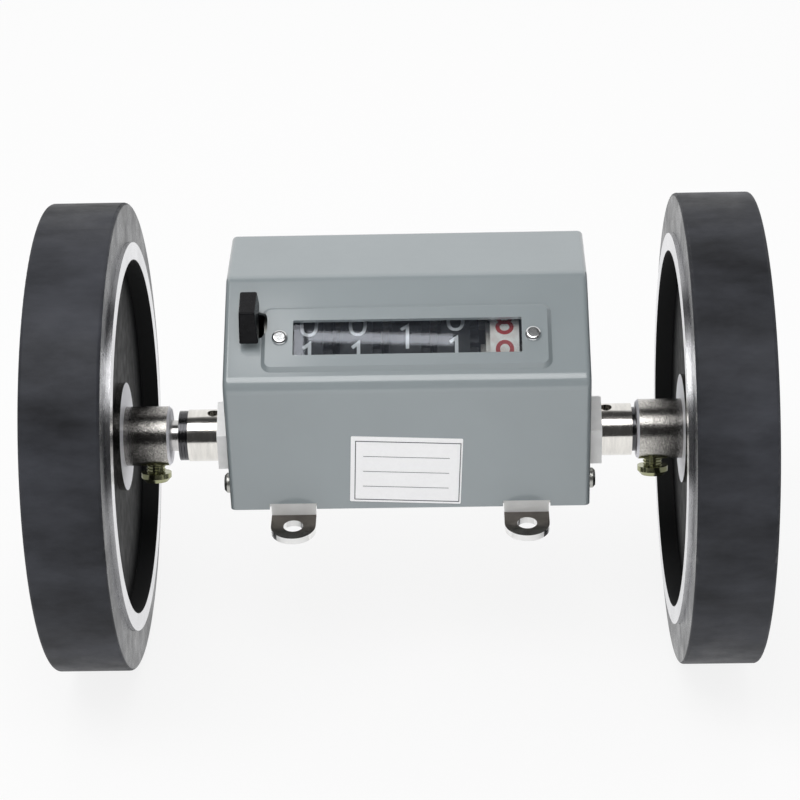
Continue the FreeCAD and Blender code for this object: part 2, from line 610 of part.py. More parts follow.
def cover_openings(body):
    through = "panel_rise + 3 * wall"
    window = new_sketch(body, "XY_Plane", "window_opening", slope_plane("panel_rise + wall", "panel_centre"))
    draw_rounded_rectangle(window, "(window_left + window_right) / 2", "0", "window_width", "window_height",
                           "window_radius")
    add_feature(body, "Pocket", window, through)
    rivet_holes = new_sketch(body, "XY_Plane", "rivet_holes",
                             slope_plane("panel_rise + wall", "panel_centre"))
    for side in ("1", "(0 - 1)"):
        draw_circle(rivet_holes, f"{side} * rivet_spacing / 2", "0", "rivet_shank_radius + screw_play")
    add_feature(body, "Pocket", rivet_holes, through)
    slot = new_sketch(body, "XY_Plane", "lever_slot", slope_plane("wall", "lever_rest"))
    swing = "lever_depth * sin(lever_travel)"
    length = f"(arm_width + 2 * lever_gap + {swing})"
    draw_rounded_rectangle(slot, "slot_x", f"0 - {swing} / 2", "slot_width", length,
                           f"({length} / 2 - slot_flat)")
    add_feature(body, "Pocket", slot, "3 * wall")
    bearings = new_sketch(body, "YZ_Plane", "bush_holes")
    draw_circle(bearings, AXLE_Y, "axle_height", "bush_radius + bush_play")
    add_feature(body, "Pocket", bearings, "case_width + 2 * wall", midplane=True)
    slots = new_sketch(body, "YZ_Plane", "bush_slots")
    front, back = f"{AXLE_Y} - bush_radius - bush_play", f"{AXLE_Y} + bush_radius + bush_play"
    draw_outline(slots, [(front, f"{COVER_LOW} - wall"), (back, f"{COVER_LOW} - wall"),
                         (back, "axle_height"), (front, "axle_height")])
    add_feature(body, "Pocket", slots, "case_width + 2 * wall", midplane=True)
    screws = new_sketch(body, "YZ_Plane", "cover_screw_holes")
    for side in ("1", "(0 - 1)"):
        draw_circle(screws, f"{side} * {COVER_SCREW_Y}", COVER_SCREW_Z, "screw_radius + screw_play")
    add_feature(body, "Pocket", screws, "case_width + 2 * wall", midplane=True)
    notches = new_sketch(body, "XZ_Plane", "foot_notches")
    half = "(foot_width / 2 + notch_margin)"
    for side in ("1", "(0 - 1)"):
        middle = f"{side} * foot_spacing_x / 2"
        left, right, top = f"{middle} - {half}", f"{middle} + {half}", "case_lift + notch_height"
        draw_outline(notches, [(left, f"{COVER_LOW} - wall"), (right, f"{COVER_LOW} - wall"), (right, top),
                               (left, top)])
    add_feature(body, "Pocket", notches, "case_depth + 2 * wall", midplane=True)


cover = new_body("cover")
cover_shell(cover)
cover_panel(cover)
cover_openings(cover)


# Window pane, its rivets and the label

lens = new_body("window_lens")
lens_outline = new_sketch(lens, "XY_Plane", "lens_outline", slope_plane("panel_rise - wall", "panel_centre"))
LENS_INWARD = f"({PANEL_PINCH} + panel_run + lens_margin)"
draw_rounded_rectangle(lens_outline, "0", "0", f"panel_width - 2 * {LENS_INWARD}",
                       f"panel_height - 2 * {LENS_INWARD}", "window_radius")
add_feature(lens, "Pad", lens_outline, "lens_thickness", reverse=True)
lens_holes = new_sketch(lens, "XY_Plane", "lens_holes", slope_plane("panel_rise", "panel_centre"))
for side in ("1", "(0 - 1)"):
    draw_circle(lens_holes, f"{side} * rivet_spacing / 2", "0", "rivet_shank_radius + screw_play")
add_feature(lens, "Pocket", lens_holes, "lens_thickness + 2 * wall")

RIVET_GRIP = "(wall + lens_thickness)"
rivets = []
for number, side in enumerate(("1", "(0 - 1)"), start=1):
    rivet = turned(f"window_rivet_{number}", [
        ("0", f"0 - {RIVET_GRIP} - rivet_tail_height"),
        ("rivet_tail_radius", f"0 - {RIVET_GRIP} - rivet_tail_height"),
        ("rivet_tail_radius", f"0 - {RIVET_GRIP}"), ("rivet_shank_radius", f"0 - {RIVET_GRIP}"),
        ("rivet_shank_radius", "0")]
        + head_outline(DOME_HEAD, "rivet_head_radius", "rivet_head_height"), "V_Axis")
    up_y = f"{FRONT_Y} + panel_centre * cos({SLOPE}) - panel_rise * sin({SLOPE})"
    up_z = f"{BEND_Z} + panel_centre * sin({SLOPE}) + panel_rise * cos({SLOPE})"
    put(rivet, f"{side} * rivet_spacing / 2", up_y, up_z, (1, 0, 0), SLOPE)
    rivets.append(rivet)
group("window_rivets", rivets)

label_plate = new_body("label_plate")
label_outline = new_sketch(label_plate, "XZ_Plane", "label_outline")
draw_rounded_rectangle(label_outline, "0", "0", "label_width", "label_height", "window_radius")
add_feature(label_plate, "Pad", label_outline, "label_thickness")
put(label_plate, "label_shift", FRONT_Y, f"{COVER_LOW} + label_level", (0, 1, 0), "label_tilt")


# Base plate with its feet and lugs

base_plate = new_body("base_plate")
base_outline = new_sketch(base_plate, "XY_Plane", "base_outline", placement("0", "0", "case_lift"))
BASE_Y = f"({COVER_INSIDE_Y} - cover_fit)"
draw_outline(base_outline, [(f"0 - {LUG_X}", f"0 - {BASE_Y}"), (LUG_X, f"0 - {BASE_Y}"),
                            (LUG_X, BASE_Y), (f"0 - {LUG_X}", BASE_Y)])
add_feature(base_plate, "Pad", base_outline, "plate")
for x_name, x_side in (("left", "(0 - 1)"), ("right", "1")):
    for y_name, y_side in (("front", "(0 - 1)"), ("rear", "1")):
        where = f"{y_name}_{x_name}"
        middle = f"{x_side} * foot_spacing_x / 2"
        web = new_sketch(base_plate, "XY_Plane", f"{where}_web")
        draw_outline(web, [(f"{middle} - foot_width / 2", f"{y_side} * {BASE_Y}"),
                           (f"{middle} + foot_width / 2", f"{y_side} * {BASE_Y}"),
                           (f"{middle} + foot_width / 2", f"{y_side} * ({BASE_Y} - plate)"),
                           (f"{middle} - foot_width / 2", f"{y_side} * ({BASE_Y} - plate)")])
        add_feature(base_plate, "Pad", web, BASE_TOP)
        tab = new_sketch(base_plate, "XY_Plane", f"{where}_tab")
        draw_outline(tab, [(f"{middle} - foot_width / 2", f"{y_side} * ({BASE_Y} - plate)"),
                           (f"{middle} + foot_width / 2", f"{y_side} * ({BASE_Y} - plate)"),
                           (f"{middle} + foot_width / 2", f"{y_side} * foot_spacing_y / 2"),
                           (f"{middle} - foot_width / 2", f"{y_side} * foot_spacing_y / 2")])
        add_feature(base_plate, "Pad", tab, "plate")
        tip = new_sketch(base_plate, "XY_Plane", f"{where}_tip")
        draw_circle(tip, middle, f"{y_side} * foot_spacing_y / 2", "foot_width / 2")
        add_feature(base_plate, "Pad", tip, "plate")
        hole = new_sketch(base_plate, "XY_Plane", f"{where}_hole", placement("0", "0", "plate"))
        draw_circle(hole, middle, f"{y_side} * foot_spacing_y / 2", "foot_hole_radius")
        add_feature(base_plate, "Pocket", hole, "2 * plate")
        lug = new_sketch(base_plate, "YZ_Plane", f"{where}_lug",
                         placement("0", "0", f"{x_side} * ({LUG_X} - plate / 2)"))
        lug_front = f"{y_side} * {COVER_SCREW_Y} - lug_width / 2"
        lug_back = f"{y_side} * {COVER_SCREW_Y} + lug_width / 2"
        lug_top = f"{COVER_SCREW_Z} + lug_over"
        draw_outline(lug, [(lug_front, "case_lift"), (lug_back, "case_lift"),
                           (lug_back, lug_top), (lug_front, lug_top)])
        add_feature(base_plate, "Pad", lug, "plate", midplane=True)
lug_holes = new_sketch(base_plate, "YZ_Plane", "lug_holes")
for side in ("1", "(0 - 1)"):
    draw_circle(lug_holes, f"{side} * {COVER_SCREW_Y}", COVER_SCREW_Z, "screw_radius + assembly_fit")
add_feature(base_plate, "Pocket", lug_holes, "case_width", midplane=True)
frame_holes = new_sketch(base_plate, "XY_Plane", "frame_screw_holes", placement("0", "0", BASE_TOP))
for x_side in ("1", "(0 - 1)"):
    for y_side in ("1", "(0 - 1)"):
        draw_circle(frame_holes, f"{x_side} * {FRAME_SCREW_X[x_side]}", f"{y_side} * frame_screw_y",
                    "screw_radius + assembly_fit")
add_feature(base_plate, "Pocket", frame_holes, "2 * plate")


# Side plates, tie rods and small shafts

FRONT_TIE = ("tie_front_inset - plate_depth / 2", "tie_front_level")
BACK_TIE = ("plate_depth / 2 - tie_back_inset", "tie_back_level")
TIE_NECK = "(tie_rod_radius - tie_shoulder)"


def side_plate(label, side, gap):
    """An upright plate whose foot is bent inward over the base plate."""
    body = new_body(label)
    outline = new_sketch(body, "YZ_Plane", f"{label}_outline", placement("0", "0", f"{side} * {gap}"))
    draw_outline(outline, [("0 - plate_depth / 2", BASE_TOP), ("0 - plate_depth / 2", "plate_front_top"),
                           ("plate_top_front", "plate_top"), ("plate_depth / 2", "plate_top"),
                           ("plate_depth / 2", BASE_TOP)])
    add_feature(body, "Pad", outline, "plate", reverse=side != "1")
    foot = new_sketch(body, "XY_Plane", f"{label}_foot", placement("0", "0", BASE_TOP))
    inner, outer = f"{side} * ({gap} - flange)", f"{side} * ({gap} + plate)"
    draw_outline(foot, [(inner, "0 - plate_depth / 2"), (outer, "0 - plate_depth / 2"),
                        (outer, "plate_depth / 2"), (inner, "plate_depth / 2")])
    add_feature(body, "Pad", foot, "plate")
    foot_holes = new_sketch(body, "XY_Plane", f"{label}_foot_holes",
                            placement("0", "0", f"{BASE_TOP} + plate"))
    for y_side in ("1", "(0 - 1)"):
        draw_circle(foot_holes, f"{side} * {FRAME_SCREW_X[side]}", f"{y_side} * frame_screw_y",
                    "screw_radius + screw_play")
    add_feature(body, "Pocket", foot_holes, "2 * plate")
    bores = new_sketch(body, "YZ_Plane", f"{label}_bores")
    draw_circle(bores, AXLE_Y, "axle_height", "bush_spigot_radius + assembly_fit")
    draw_circle(bores, COUNTER_Y, COUNTER_Z, "counter_shaft_radius + assembly_fit")
    draw_circle(bores, PINION_Y, PINION_Z, "pinion_shaft_radius + assembly_fit")
    draw_circle(bores, RESET_Y, RESET_Z, "reset_shaft_radius + running_fit")
    for y, z in (FRONT_TIE, BACK_TIE):
        draw_circle(bores, y, z, f"{TIE_NECK} + assembly_fit")
    add_feature(body, "Pocket", bores, "case_width", midplane=True)
    return body


left_side_plate = side_plate("left_side_plate", "(0 - 1)", "left_plate_gap")
right_side_plate = side_plate("right_side_plate", "1", "right_plate_gap")

LEFT_OUT = "(0 - left_plate_gap - plate)"
RIGHT_OUT = "(right_plate_gap + plate)"

tie_rods = []
for number, (y, z) in enumerate((FRONT_TIE, BACK_TIE), start=1):
    neck, end = TIE_NECK, "tie_end"
    rod = turned(f"tie_rod_{number}", [
        (f"{LEFT_OUT} - {end}", "0"), (f"{RIGHT_OUT} + {end}", "0"),
        (f"{RIGHT_OUT} + {end}", "tie_rod_radius"), (RIGHT_OUT, "tie_rod_radius"), (RIGHT_OUT, neck),
        ("right_plate_gap", neck), ("right_plate_gap", "tie_rod_radius"),
        ("0 - left_plate_gap", "tie_rod_radius"), ("0 - left_plate_gap", neck), (LEFT_OUT, neck),
        (LEFT_OUT, "tie_rod_radius"), (f"{LEFT_OUT} - {end}", "tie_rod_radius")])
    tie_rods.append(put(rod, "0", y, z))
group("tie_rods", tie_rods)

put(tube("counter_shaft", f"{LEFT_OUT} - shaft_end", f"{RIGHT_OUT} + shaft_end", "0", "counter_shaft_radius"),
    "0", COUNTER_Y, COUNTER_Z)
put(tube("pinion_shaft", f"{LEFT_OUT} - shaft_end", f"{RIGHT_OUT} + shaft_end", "0", "pinion_shaft_radius"),
    "0", PINION_Y, PINION_Z)

clips = []
for name, y, z, radius in (("counter", COUNTER_Y, COUNTER_Z, "counter_shaft_radius"),
                           ("pinion", PINION_Y, PINION_Z, "pinion_shaft_radius")):
    for side, outside in (("left", f"{LEFT_OUT} - clip_thickness"), ("right", RIGHT_OUT)):
        clip = tube(f"{name}_{side}_clip", outside, f"{outside} + clip_thickness", f"{radius} + assembly_fit",
                    "clip_radius")
        clips.append(put(clip, "0", y, z))
group("shaft_clips", clips)

frame_screws = []
for x_side in ("1", "(0 - 1)"):
    for y_side in ("1", "(0 - 1)"):
        item = screw(f"frame_screw_{len(frame_screws) + 1}", "screw_radius", "screw_length",
                     "screw_head_radius", "screw_head_height", "screw_slot")
        frame_screws.append(put(item, f"{x_side} * {FRAME_SCREW_X[x_side]}", f"{y_side} * frame_screw_y",
                                f"{BASE_TOP} + plate"))
group("frame_screws", frame_screws)

cover_screws = []
for x_side, turn in (("1", "90"), ("(0 - 1)", "0 - 90")):
    for y_side in ("1", "(0 - 1)"):
        item = screw(f"cover_screw_{len(cover_screws) + 1}", "screw_radius", "screw_length",
                     "screw_head_radius", "screw_head_height", "screw_slot")
        cover_screws.append(put(item, f"{x_side} * case_width / 2", f"{y_side} * {COVER_SCREW_Y}",
                                COVER_SCREW_Z, (0, 1, 0), turn))
group("cover_screws", cover_screws)


# Bearing bushes and their nuts

def bearing_bush(label, side, gap):
    """A stepped bush riveted into its side plate, drawn along +X and turned round for the left."""
    inner = f"{gap} - bush_collar"
    bore = "shaft_radius + running_fit"
    body = turned(label, [(inner, bore), ("bush_reach", bore), ("bush_reach", "bush_radius"),
                          (COVER_INSIDE_X + " - nut_gap", "bush_radius"),
                          (COVER_INSIDE_X + " - nut_gap", "bush_shoulder_radius"),
                          (f"{gap} + plate", "bush_shoulder_radius"),
                          (f"{gap} + plate", "bush_spigot_radius"), (gap, "bush_spigot_radius"),
                          (gap, BUSH_COLLAR_RADIUS), (inner, BUSH_COLLAR_RADIUS)])
    oil_hole = new_sketch(body, "XY_Plane", f"{label}_oil_hole",
                          placement("0", "0", "shaft_radius"))
    draw_circle(oil_hole, "bush_reach - oil_hole_inset", "0", "oil_hole_radius")
    add_feature(body, "Pocket", oil_hole, "2 * bush_radius", reverse=True)
    return put(body, "0", AXLE_Y, "axle_height", (0, 0, 1), "0" if side == "1" else "180")


bearing_bush("left_bearing_bush", "(0 - 1)", "left_plate_gap")
bearing_bush("right_bearing_bush", "1", "right_plate_gap")


def hexagon(sketch, flats):
    corner = f"({flats} / 2 / cos(30))"
    draw_outline(sketch, [(f"{corner} * sin({60 * i})", f"{corner} * cos({60 * i})") for i in range(6)])


nuts = []
for name, turn in (("left", "180"), ("right", "0")):
    nut = new_body(f"{name}_bush_nut")
    flats = new_sketch(nut, "YZ_Plane", f"{name}_nut_outline",
                       placement("0", "0", "case_width / 2 + nut_gap"))
    hexagon(flats, "nut_flats")
    add_feature(nut, "Pad", flats, "nut_thickness")
    bore = new_sketch(nut, "YZ_Plane", f"{name}_nut_bore")
    draw_circle(bore, "0", "0", "bush_radius + assembly_fit")
    add_feature(nut, "Pocket", bore, "2 * case_width", midplane=True)
    nuts.append(put(nut, "0", AXLE_Y, "axle_height", (0, 0, 1), turn))
group("bush_nuts", nuts)


# Wheel set

PINION_X = "(counter_gear_x - pinion_overlap)"
shaft_bar = tube("shaft_bar", "wheelset_shift - shaft_half_length", "wheelset_shift + shaft_half_length", "0",
                 "shaft_radius")
shaft_teeth = gear("shaft_teeth", "drive_module", "drive_pinion_teeth",
                   "counter_gear_width + 2 * pinion_overlap", "0", "drive_addendum", "drive_dedendum",
                   "drive_backlash")
put(shaft_teeth, PINION_X, "0", "0", (1, 0, 0), "90 - counter_lean")
put(fused("main_shaft", [shaft_bar, shaft_teeth]), "0", AXLE_Y, "axle_height")


def wheel_place(item, side):
    """Pieces of a wheel are drawn along +X from the middle of the wheel set."""
    return put(item, "wheelset_shift", AXLE_Y, "axle_height", (0, 0, 1), "0" if side == "right" else "180")


def wheel(side):
    rim_start = "tyre_inner_face - rim_proud"
    rim_end = f"{rim_start} + rim_width"
    web_end = f"{WEB_FACE} + web_thickness"
    bore, edge = "hub_spigot_radius + assembly_fit", "rim_bore - assembly_fit"
    rim = turned(f"{side}_rim", [
        (rim_start, "rim_bore"), (rim_start, "rim_radius"), (rim_end, "rim_radius"), (rim_end, "rim_bore")])
    wheel_place(rim, side)
    disc = turned(f"{side}_wheel_disc", [
        (WEB_FACE, bore), (WEB_FACE, f"{edge} - web_edge"), (f"{WEB_FACE} + web_edge", edge),
        (f"{web_end} - web_edge", edge), (web_end, f"{edge} - web_edge"), (web_end, bore)])
    wheel_place(disc, side)
    tyre = turned(f"{side}_tyre", [
        ("tyre_inner_face", "rim_radius + tyre_fit"),
        ("tyre_inner_face + tyre_width", "rim_radius + tyre_fit"),
        ("tyre_inner_face + tyre_width", "tyre_radius"), ("tyre_inner_face", "tyre_radius")])
    tread = value("tyre_radius")
    add_fillet(tyre, "tyre_edge", lambda edge: round_edge(edge, tread), f"{side}_tread_edges")
    wheel_place(tyre, side)
    hub_bore = "shaft_radius + assembly_fit"
    flange_face = f"{WEB_FACE} - hub_flange"
    hub = turned(f"{side}_hub", [
        (HUB_END, hub_bore), (f"{web_end} + hub_tail", hub_bore),
        (f"{web_end} + hub_tail", "hub_tail_radius"),
        (web_end, "hub_tail_radius"), (web_end, "hub_spigot_radius"), (WEB_FACE, "hub_spigot_radius"),
        (WEB_FACE, "hub_flange_radius"), (flange_face, "hub_flange_radius"), (flange_face, "hub_radius"),
        (f"{HUB_END} + hub_chamfer", "hub_radius"), (HUB_END, "hub_radius - hub_chamfer")])
    tilt = "hub_screw_tilt" if side == "right" else "(0 - hub_screw_tilt)"
    tapped = new_sketch(hub, "XY_Plane", f"{side}_screw_hole",
                        placement("0", f"0 - shaft_radius * sin({tilt})", f"0 - shaft_radius * cos({tilt})",
                                  (1, 0, 0), f"0 - {tilt}"))
    draw_circle(tapped, f"{HUB_END} + hub_screw_inset", "0", "hub_screw_radius + assembly_fit")
    add_feature(hub, "Pocket", tapped, "2 * hub_radius")
    wheel_place(hub, side)
    length = "(hub_radius + hub_screw_back_off - shaft_radius - thread_gap)"
    bolt = screw(f"{side}_hub_screw", "hub_screw_radius", length, "hub_screw_head_radius", "hub_screw_head",
                 "hub_screw_slot")
    reach = "(hub_radius + hub_screw_back_off)"
    sign = "1" if side == "right" else "(0 - 1)"
    put(bolt, f"wheelset_shift + {sign} * ({HUB_END} + hub_screw_inset)",
        f"{AXLE_Y} - {reach} * sin(hub_screw_tilt)", f"axle_height - {reach} * cos(hub_screw_tilt)",
        (1, 0, 0), "180 - hub_screw_tilt")


wheel("left")
wheel("right")

washers = []
for number in range(round(value("washer_count"))):
    start = f"0 - bush_reach - end_play - {number} * washer_step - washer_thickness"
    washer = tube(f"thrust_washer_{number + 1}", start, f"{start} + washer_thickness",
                  "shaft_radius + assembly_fit", "washer_radius")
    washers.append(put(washer, "0", AXLE_Y, "axle_height"))
group("left_thrust_washers", washers)

put(tube("right_retaining_ring", "bush_reach + end_play", "bush_reach + end_play + ring_thickness",
         "shaft_radius + assembly_fit", "ring_radius"), "0", AXLE_Y, "axle_height")


# Number drums

# Points that a heart cam's outline runs through on each side
HEART_STEPS = 6


def heart_cam(label):
    """A heart cam to the left of the drum: its radius grows evenly either way round from its notch."""
    low, high = value("heart_low"), value("heart_high")
    steps = HEART_STEPS
    halves = []
    for way in (1, -1):
        angles = [way * math.pi * step / steps for step in range(steps + 1)]
        radii = [low + (high - low) * step / steps for step in range(steps + 1)]
        spots = [FreeCAD.Vector(0, r * math.cos(a), r * math.sin(a)) for a, r in zip(angles, radii)]
        curve = Part.BSplineCurve()
        curve.interpolate(spots)
        halves.append(curve.toShape())
    outline = Part.Wire(Part.__sortEdges__(halves))
    solid = Part.Face(outline).extrude(FreeCAD.Vector(-value("heart_width"), 0, 0))
    bore = Part.makeCylinder(value("counter_shaft_radius + running_fit"), value("3 * heart_width"),
                             FreeCAD.Vector(-value("2 * heart_width"), 0, 0), FreeCAD.Vector(1, 0, 0))
    item = doc.addObject("Part::Feature", label)
    item.Shape = solid.cut(bore)
    return put(item, "0 - drum_width / 2 - lock_disc_width")


def number_drum(name, place):
    """A drum with a locking disc and heart cam on its left, and on its right a gear or the gear's seat."""
    bore = "counter_shaft_radius + running_fit"
    left, right = "0 - drum_width / 2", "drum_width / 2"
    hollow = "drum_radius - drum_rim"
    outline = [(f"{left} - lock_disc_width", bore), (f"{left} - lock_disc_width", "lock_disc_radius"),
               (f"{left} + drum_recess", "lock_disc_radius"), (f"{left} + drum_recess", hollow),
               (left, hollow), (left, "drum_radius"), (right, "drum_radius"), (right, hollow),
               (f"{right} - drum_recess", hollow)]
    if name == "tenths":
        outline += [(f"{right} - drum_recess", "drum_hub_radius"),
                    (f"counter_gear_x + counter_gear_width - ({place})", "drum_hub_radius"),
                    (f"counter_gear_x + counter_gear_width - ({place})", bore)]
    else:
        outline += [(f"{right} - drum_recess", bore)]
    pieces = [turned(f"{name}_rim", outline), heart_cam(f"{name}_heart")]
    if name != "tenths":
        teeth = gear(f"{name}_teeth", "transfer_module", "drum_gear_teeth", "drum_gear_width + drum_recess",
                     bore, "transfer_addendum", "transfer_dedendum", "transfer_backlash")
        pieces.append(put(teeth, f"{right} - drum_recess", "0", "0", (1, 0, 0),
                          "transfer_lean + 180 / drum_gear_teeth"))
    drum = fused(f"{name}_drum", pieces)
    return put(drum, place, COUNTER_Y, COUNTER_Z)


drum_places = {}
for number, name in enumerate(drum_names):
    drum_places[name] = f"(row_left + {number + 0.5} * drum_pitch)"
    number_drum(name, drum_places[name])

counter_gear = gear("counter_gear", "drive_module", "counter_gear_teeth", "counter_gear_width",
                    "drum_hub_radius + assembly_fit", "drive_addendum", "drive_dedendum", "drive_backlash")
put(counter_gear, "counter_gear_x", COUNTER_Y, COUNTER_Z, (1, 0, 0),
    "0 - 90 - counter_lean + 180 / counter_gear_teeth")

for number, name in enumerate(drum_names[:-1]):
    gap_start = f"{drum_places[name]} + drum_width / 2 + transfer_side_gap"
    pinion = gear(f"transfer_pinion_{len(drum_names) - 1 - number}", "transfer_module", "transfer_teeth",
                  "drum_pitch - drum_width - 2 * transfer_side_gap", "pinion_shaft_radius + running_fit",
                  "transfer_addendum", "transfer_dedendum", "transfer_backlash")
    put(pinion, gap_start, PINION_Y, PINION_Z, (1, 0, 0), "180 + transfer_lean")


# Reset lever, its shaft, hammers and spring; drawn with Y up the slope and Z square to it

# Points that the spring's wire runs through, on each turn and each leg
SPRING_STEPS = 12


def reset_place(item, x="0"):
    return put(item, x, RESET_Y, RESET_Z, (1, 0, 0), SLOPE)


reset_place(tube("reset_shaft", "lever_x - arm_thickness / 2 - shaft_end", f"{RIGHT_OUT} + shaft_end", "0",
                 "reset_shaft_radius"))

arm = new_body("reset_arm")
arm_strip = new_sketch(arm, "YZ_Plane", "arm_strip")
draw_outline(arm_strip, [("0 - arm_width / 2", "0"), ("arm_width / 2", "0"),
                         ("arm_width / 2", "lever_depth + arm_tip"),
                         ("0 - arm_width / 2", "lever_depth + arm_tip")])
add_feature(arm, "Pad", arm_strip, "arm_thickness", midplane=True)
arm_eye = new_sketch(arm, "YZ_Plane", "arm_eye")
draw_circle(arm_eye, "0", "0", "arm_boss_radius")
add_feature(arm, "Pad", arm_eye, "arm_thickness", midplane=True)
arm_bore = new_sketch(arm, "YZ_Plane", "arm_bore")
draw_circle(arm_bore, "0", "0", "reset_shaft_radius + assembly_fit")
add_feature(arm, "Pocket", arm_bore, "2 * arm_thickness", midplane=True)
reset_place(arm, "lever_x")

knob = new_body("reset_knob")
knob_side = new_sketch(knob, "YZ_Plane", "knob_side")
KNOB_LOW = "(lever_depth + knob_base)"
FACE_TOP_Y = "(0 - knob_front + knob_face * sin(knob_lean))"
FACE_HEIGHT = "(knob_face * cos(knob_lean))"
FACE_TOP_Z = f"({KNOB_LOW} + {FACE_HEIGHT})"
draw_outline(knob_side, [("0 - knob_front", KNOB_LOW), ("knob_rear", KNOB_LOW),
                         (f"{FACE_TOP_Y} + knob_top * cos(knob_lean)",
                          f"{FACE_TOP_Z} - knob_top * sin(knob_lean)"), (FACE_TOP_Y, FACE_TOP_Z)])
add_feature(knob, "Pad", knob_side, "knob_width", midplane=True)
knob_draft = new_sketch(knob, "XZ_Plane", "knob_draft")
for side in ("1", "(0 - 1)"):
    foot = f"{side} * knob_width / 2"
    draw_outline(knob_draft, [(foot, KNOB_LOW), (f"{side} * knob_width", KNOB_LOW),
                              (f"{side} * knob_width", FACE_TOP_Z),
                              (f"{foot} - {side} * {FACE_HEIGHT} * tan(knob_draft)", FACE_TOP_Z)])
add_feature(knob, "Pocket", knob_draft, "4 * knob_front", midplane=True)
add_fillet(knob, "knob_edge", lambda edge: True, "knob_rounds")
socket = new_sketch(knob, "XY_Plane", "knob_socket", placement("0", "0", f"{KNOB_LOW} - knob_base"))
draw_rounded_rectangle(socket, "0", "0", "arm_thickness + 2 * assembly_fit", "arm_width + 2 * assembly_fit",
                       "assembly_fit")
add_feature(knob, "Pocket", socket, "arm_tip + assembly_fit", reverse=True)
reset_place(knob, "lever_x")

hammers = []
for name in drum_names:
    hammer = new_body(f"{name}_hammer")
    left = f"{drum_places[name]} - drum_width / 2 - lock_disc_width - hammer_gap - hammer_thickness"
    blade = new_sketch(hammer, "YZ_Plane", f"{name}_blade")
    draw_outline(blade, [("0 - hammer_width / 2", "0"), ("hammer_width / 2", "0"),
                         ("hammer_width / 2", "hammer_reach"), ("0 - hammer_width / 2", "hammer_reach")])
    add_feature(hammer, "Pad", blade, "hammer_thickness")
    eye = new_sketch(hammer, "YZ_Plane", f"{name}_eye")
    draw_circle(eye, "0", "0", "hammer_boss_radius")
    add_feature(hammer, "Pad", eye, "hammer_thickness")
    bore = new_sketch(hammer, "YZ_Plane", f"{name}_hammer_bore", placement("0", "0", "hammer_thickness"))
    draw_circle(bore, "0", "0", "reset_shaft_radius + assembly_fit")
    add_feature(hammer, "Pocket", bore, "2 * hammer_thickness")
    hammers.append(put(hammer, left, RESET_Y, RESET_Z, (1, 0, 0), f"{SLOPE} - hammer_angle * 1 deg"))
group("reset_hammers", hammers)

reset_clip = tube("reset_shaft_clip", RIGHT_OUT, f"{RIGHT_OUT} + clip_thickness",
                  "reset_shaft_radius + assembly_fit", "clip_radius")
reset_place(reset_clip)


def reset_spring():
    """One unbroken wire: a coil round the reset shaft, and a straight leg at each end of it."""
    wire, leg = value("spring_wire / 2"), value("spring_leg")
    radius, turns = value("spring_radius"), value("spring_turns")
    length = value("spring_pitch * spring_turns")
    steps = round(SPRING_STEPS * turns)
    shares = [step / SPRING_STEPS for step in range(1, SPRING_STEPS)]
    spots = [FreeCAD.Vector(radius, leg * (share - 1), 0) for share in [0] + shares]
    for step in range(steps + 1):
        angle = 2 * math.pi * turns * step / steps
        along = length * step / steps
        spots.append(FreeCAD.Vector(radius * math.cos(angle), radius * math.sin(angle), along))
    spots += [FreeCAD.Vector(radius, leg * share, length) for share in shares + [1]]
    path = Part.BSplineCurve()
    straight_on = FreeCAD.Vector(0, 1, 0)
    path.interpolate(spots, InitialTangent=straight_on, FinalTangent=straight_on)
    section = Part.Wire(Part.Circle(spots[0], straight_on, wire).toShape())
    item = doc.addObject("Part::Feature", "reset_spring")
    item.Shape = Part.Wire(path.toShape()).makePipeShell([section], True, False)
    return item


put(reset_spring(), f"{LEFT_OUT} - spring_side_gap - spring_wire / 2 - spring_turns * spring_pitch",
    RESET_Y, RESET_Z, (0, 1, 0), "90")


# Check and write every named piece

NODES = [
    "cover", "window_lens", "window_rivets", "label_plate", "base_plate", "left_side_plate",
    "right_side_plate", "tie_rods", "frame_screws", "cover_screws", "left_bearing_bush",
    "right_bearing_bush", "bush_nuts", "counter_shaft", "pinion_shaft", "shaft_clips", "reset_spring",
    "main_shaft", "left_rim", "right_rim", "left_wheel_disc", "right_wheel_disc", "left_tyre",
    "right_tyre", "left_hub", "right_hub", "left_hub_screw", "right_hub_screw",
    "left_thrust_washers", "right_retaining_ring",
    "thousands_drum", "hundreds_drum", "tens_drum", "units_drum", "tenths_drum", "counter_gear",
    "transfer_pinion_1", "transfer_pinion_2", "transfer_pinion_3", "transfer_pinion_4",
    "reset_shaft", "reset_arm", "reset_knob", "reset_hammers", "reset_shaft_clip",
]

doc.recompute()
faulty = [item.Label for item in doc.Objects if "Invalid" in item.State or "Error" in item.State]
if faulty:
    raise RuntimeError(f"these objects failed: {faulty}")

pieces = {}
for node in NODES:
    item = doc.getObjectsByLabel(node)[0]
    shape = item.Shape
    if shape.isNull() or not shape.isValid() or not shape.Solids:
        raise RuntimeError(f"{node} is not a sound solid")
    pieces[node] = shape

os.makedirs("parts", exist_ok=True)
for node, shape in pieces.items():
    shape.exportStep(f"parts/{node}.step")
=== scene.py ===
import math

import bpy
from mathutils import Matrix, Vector


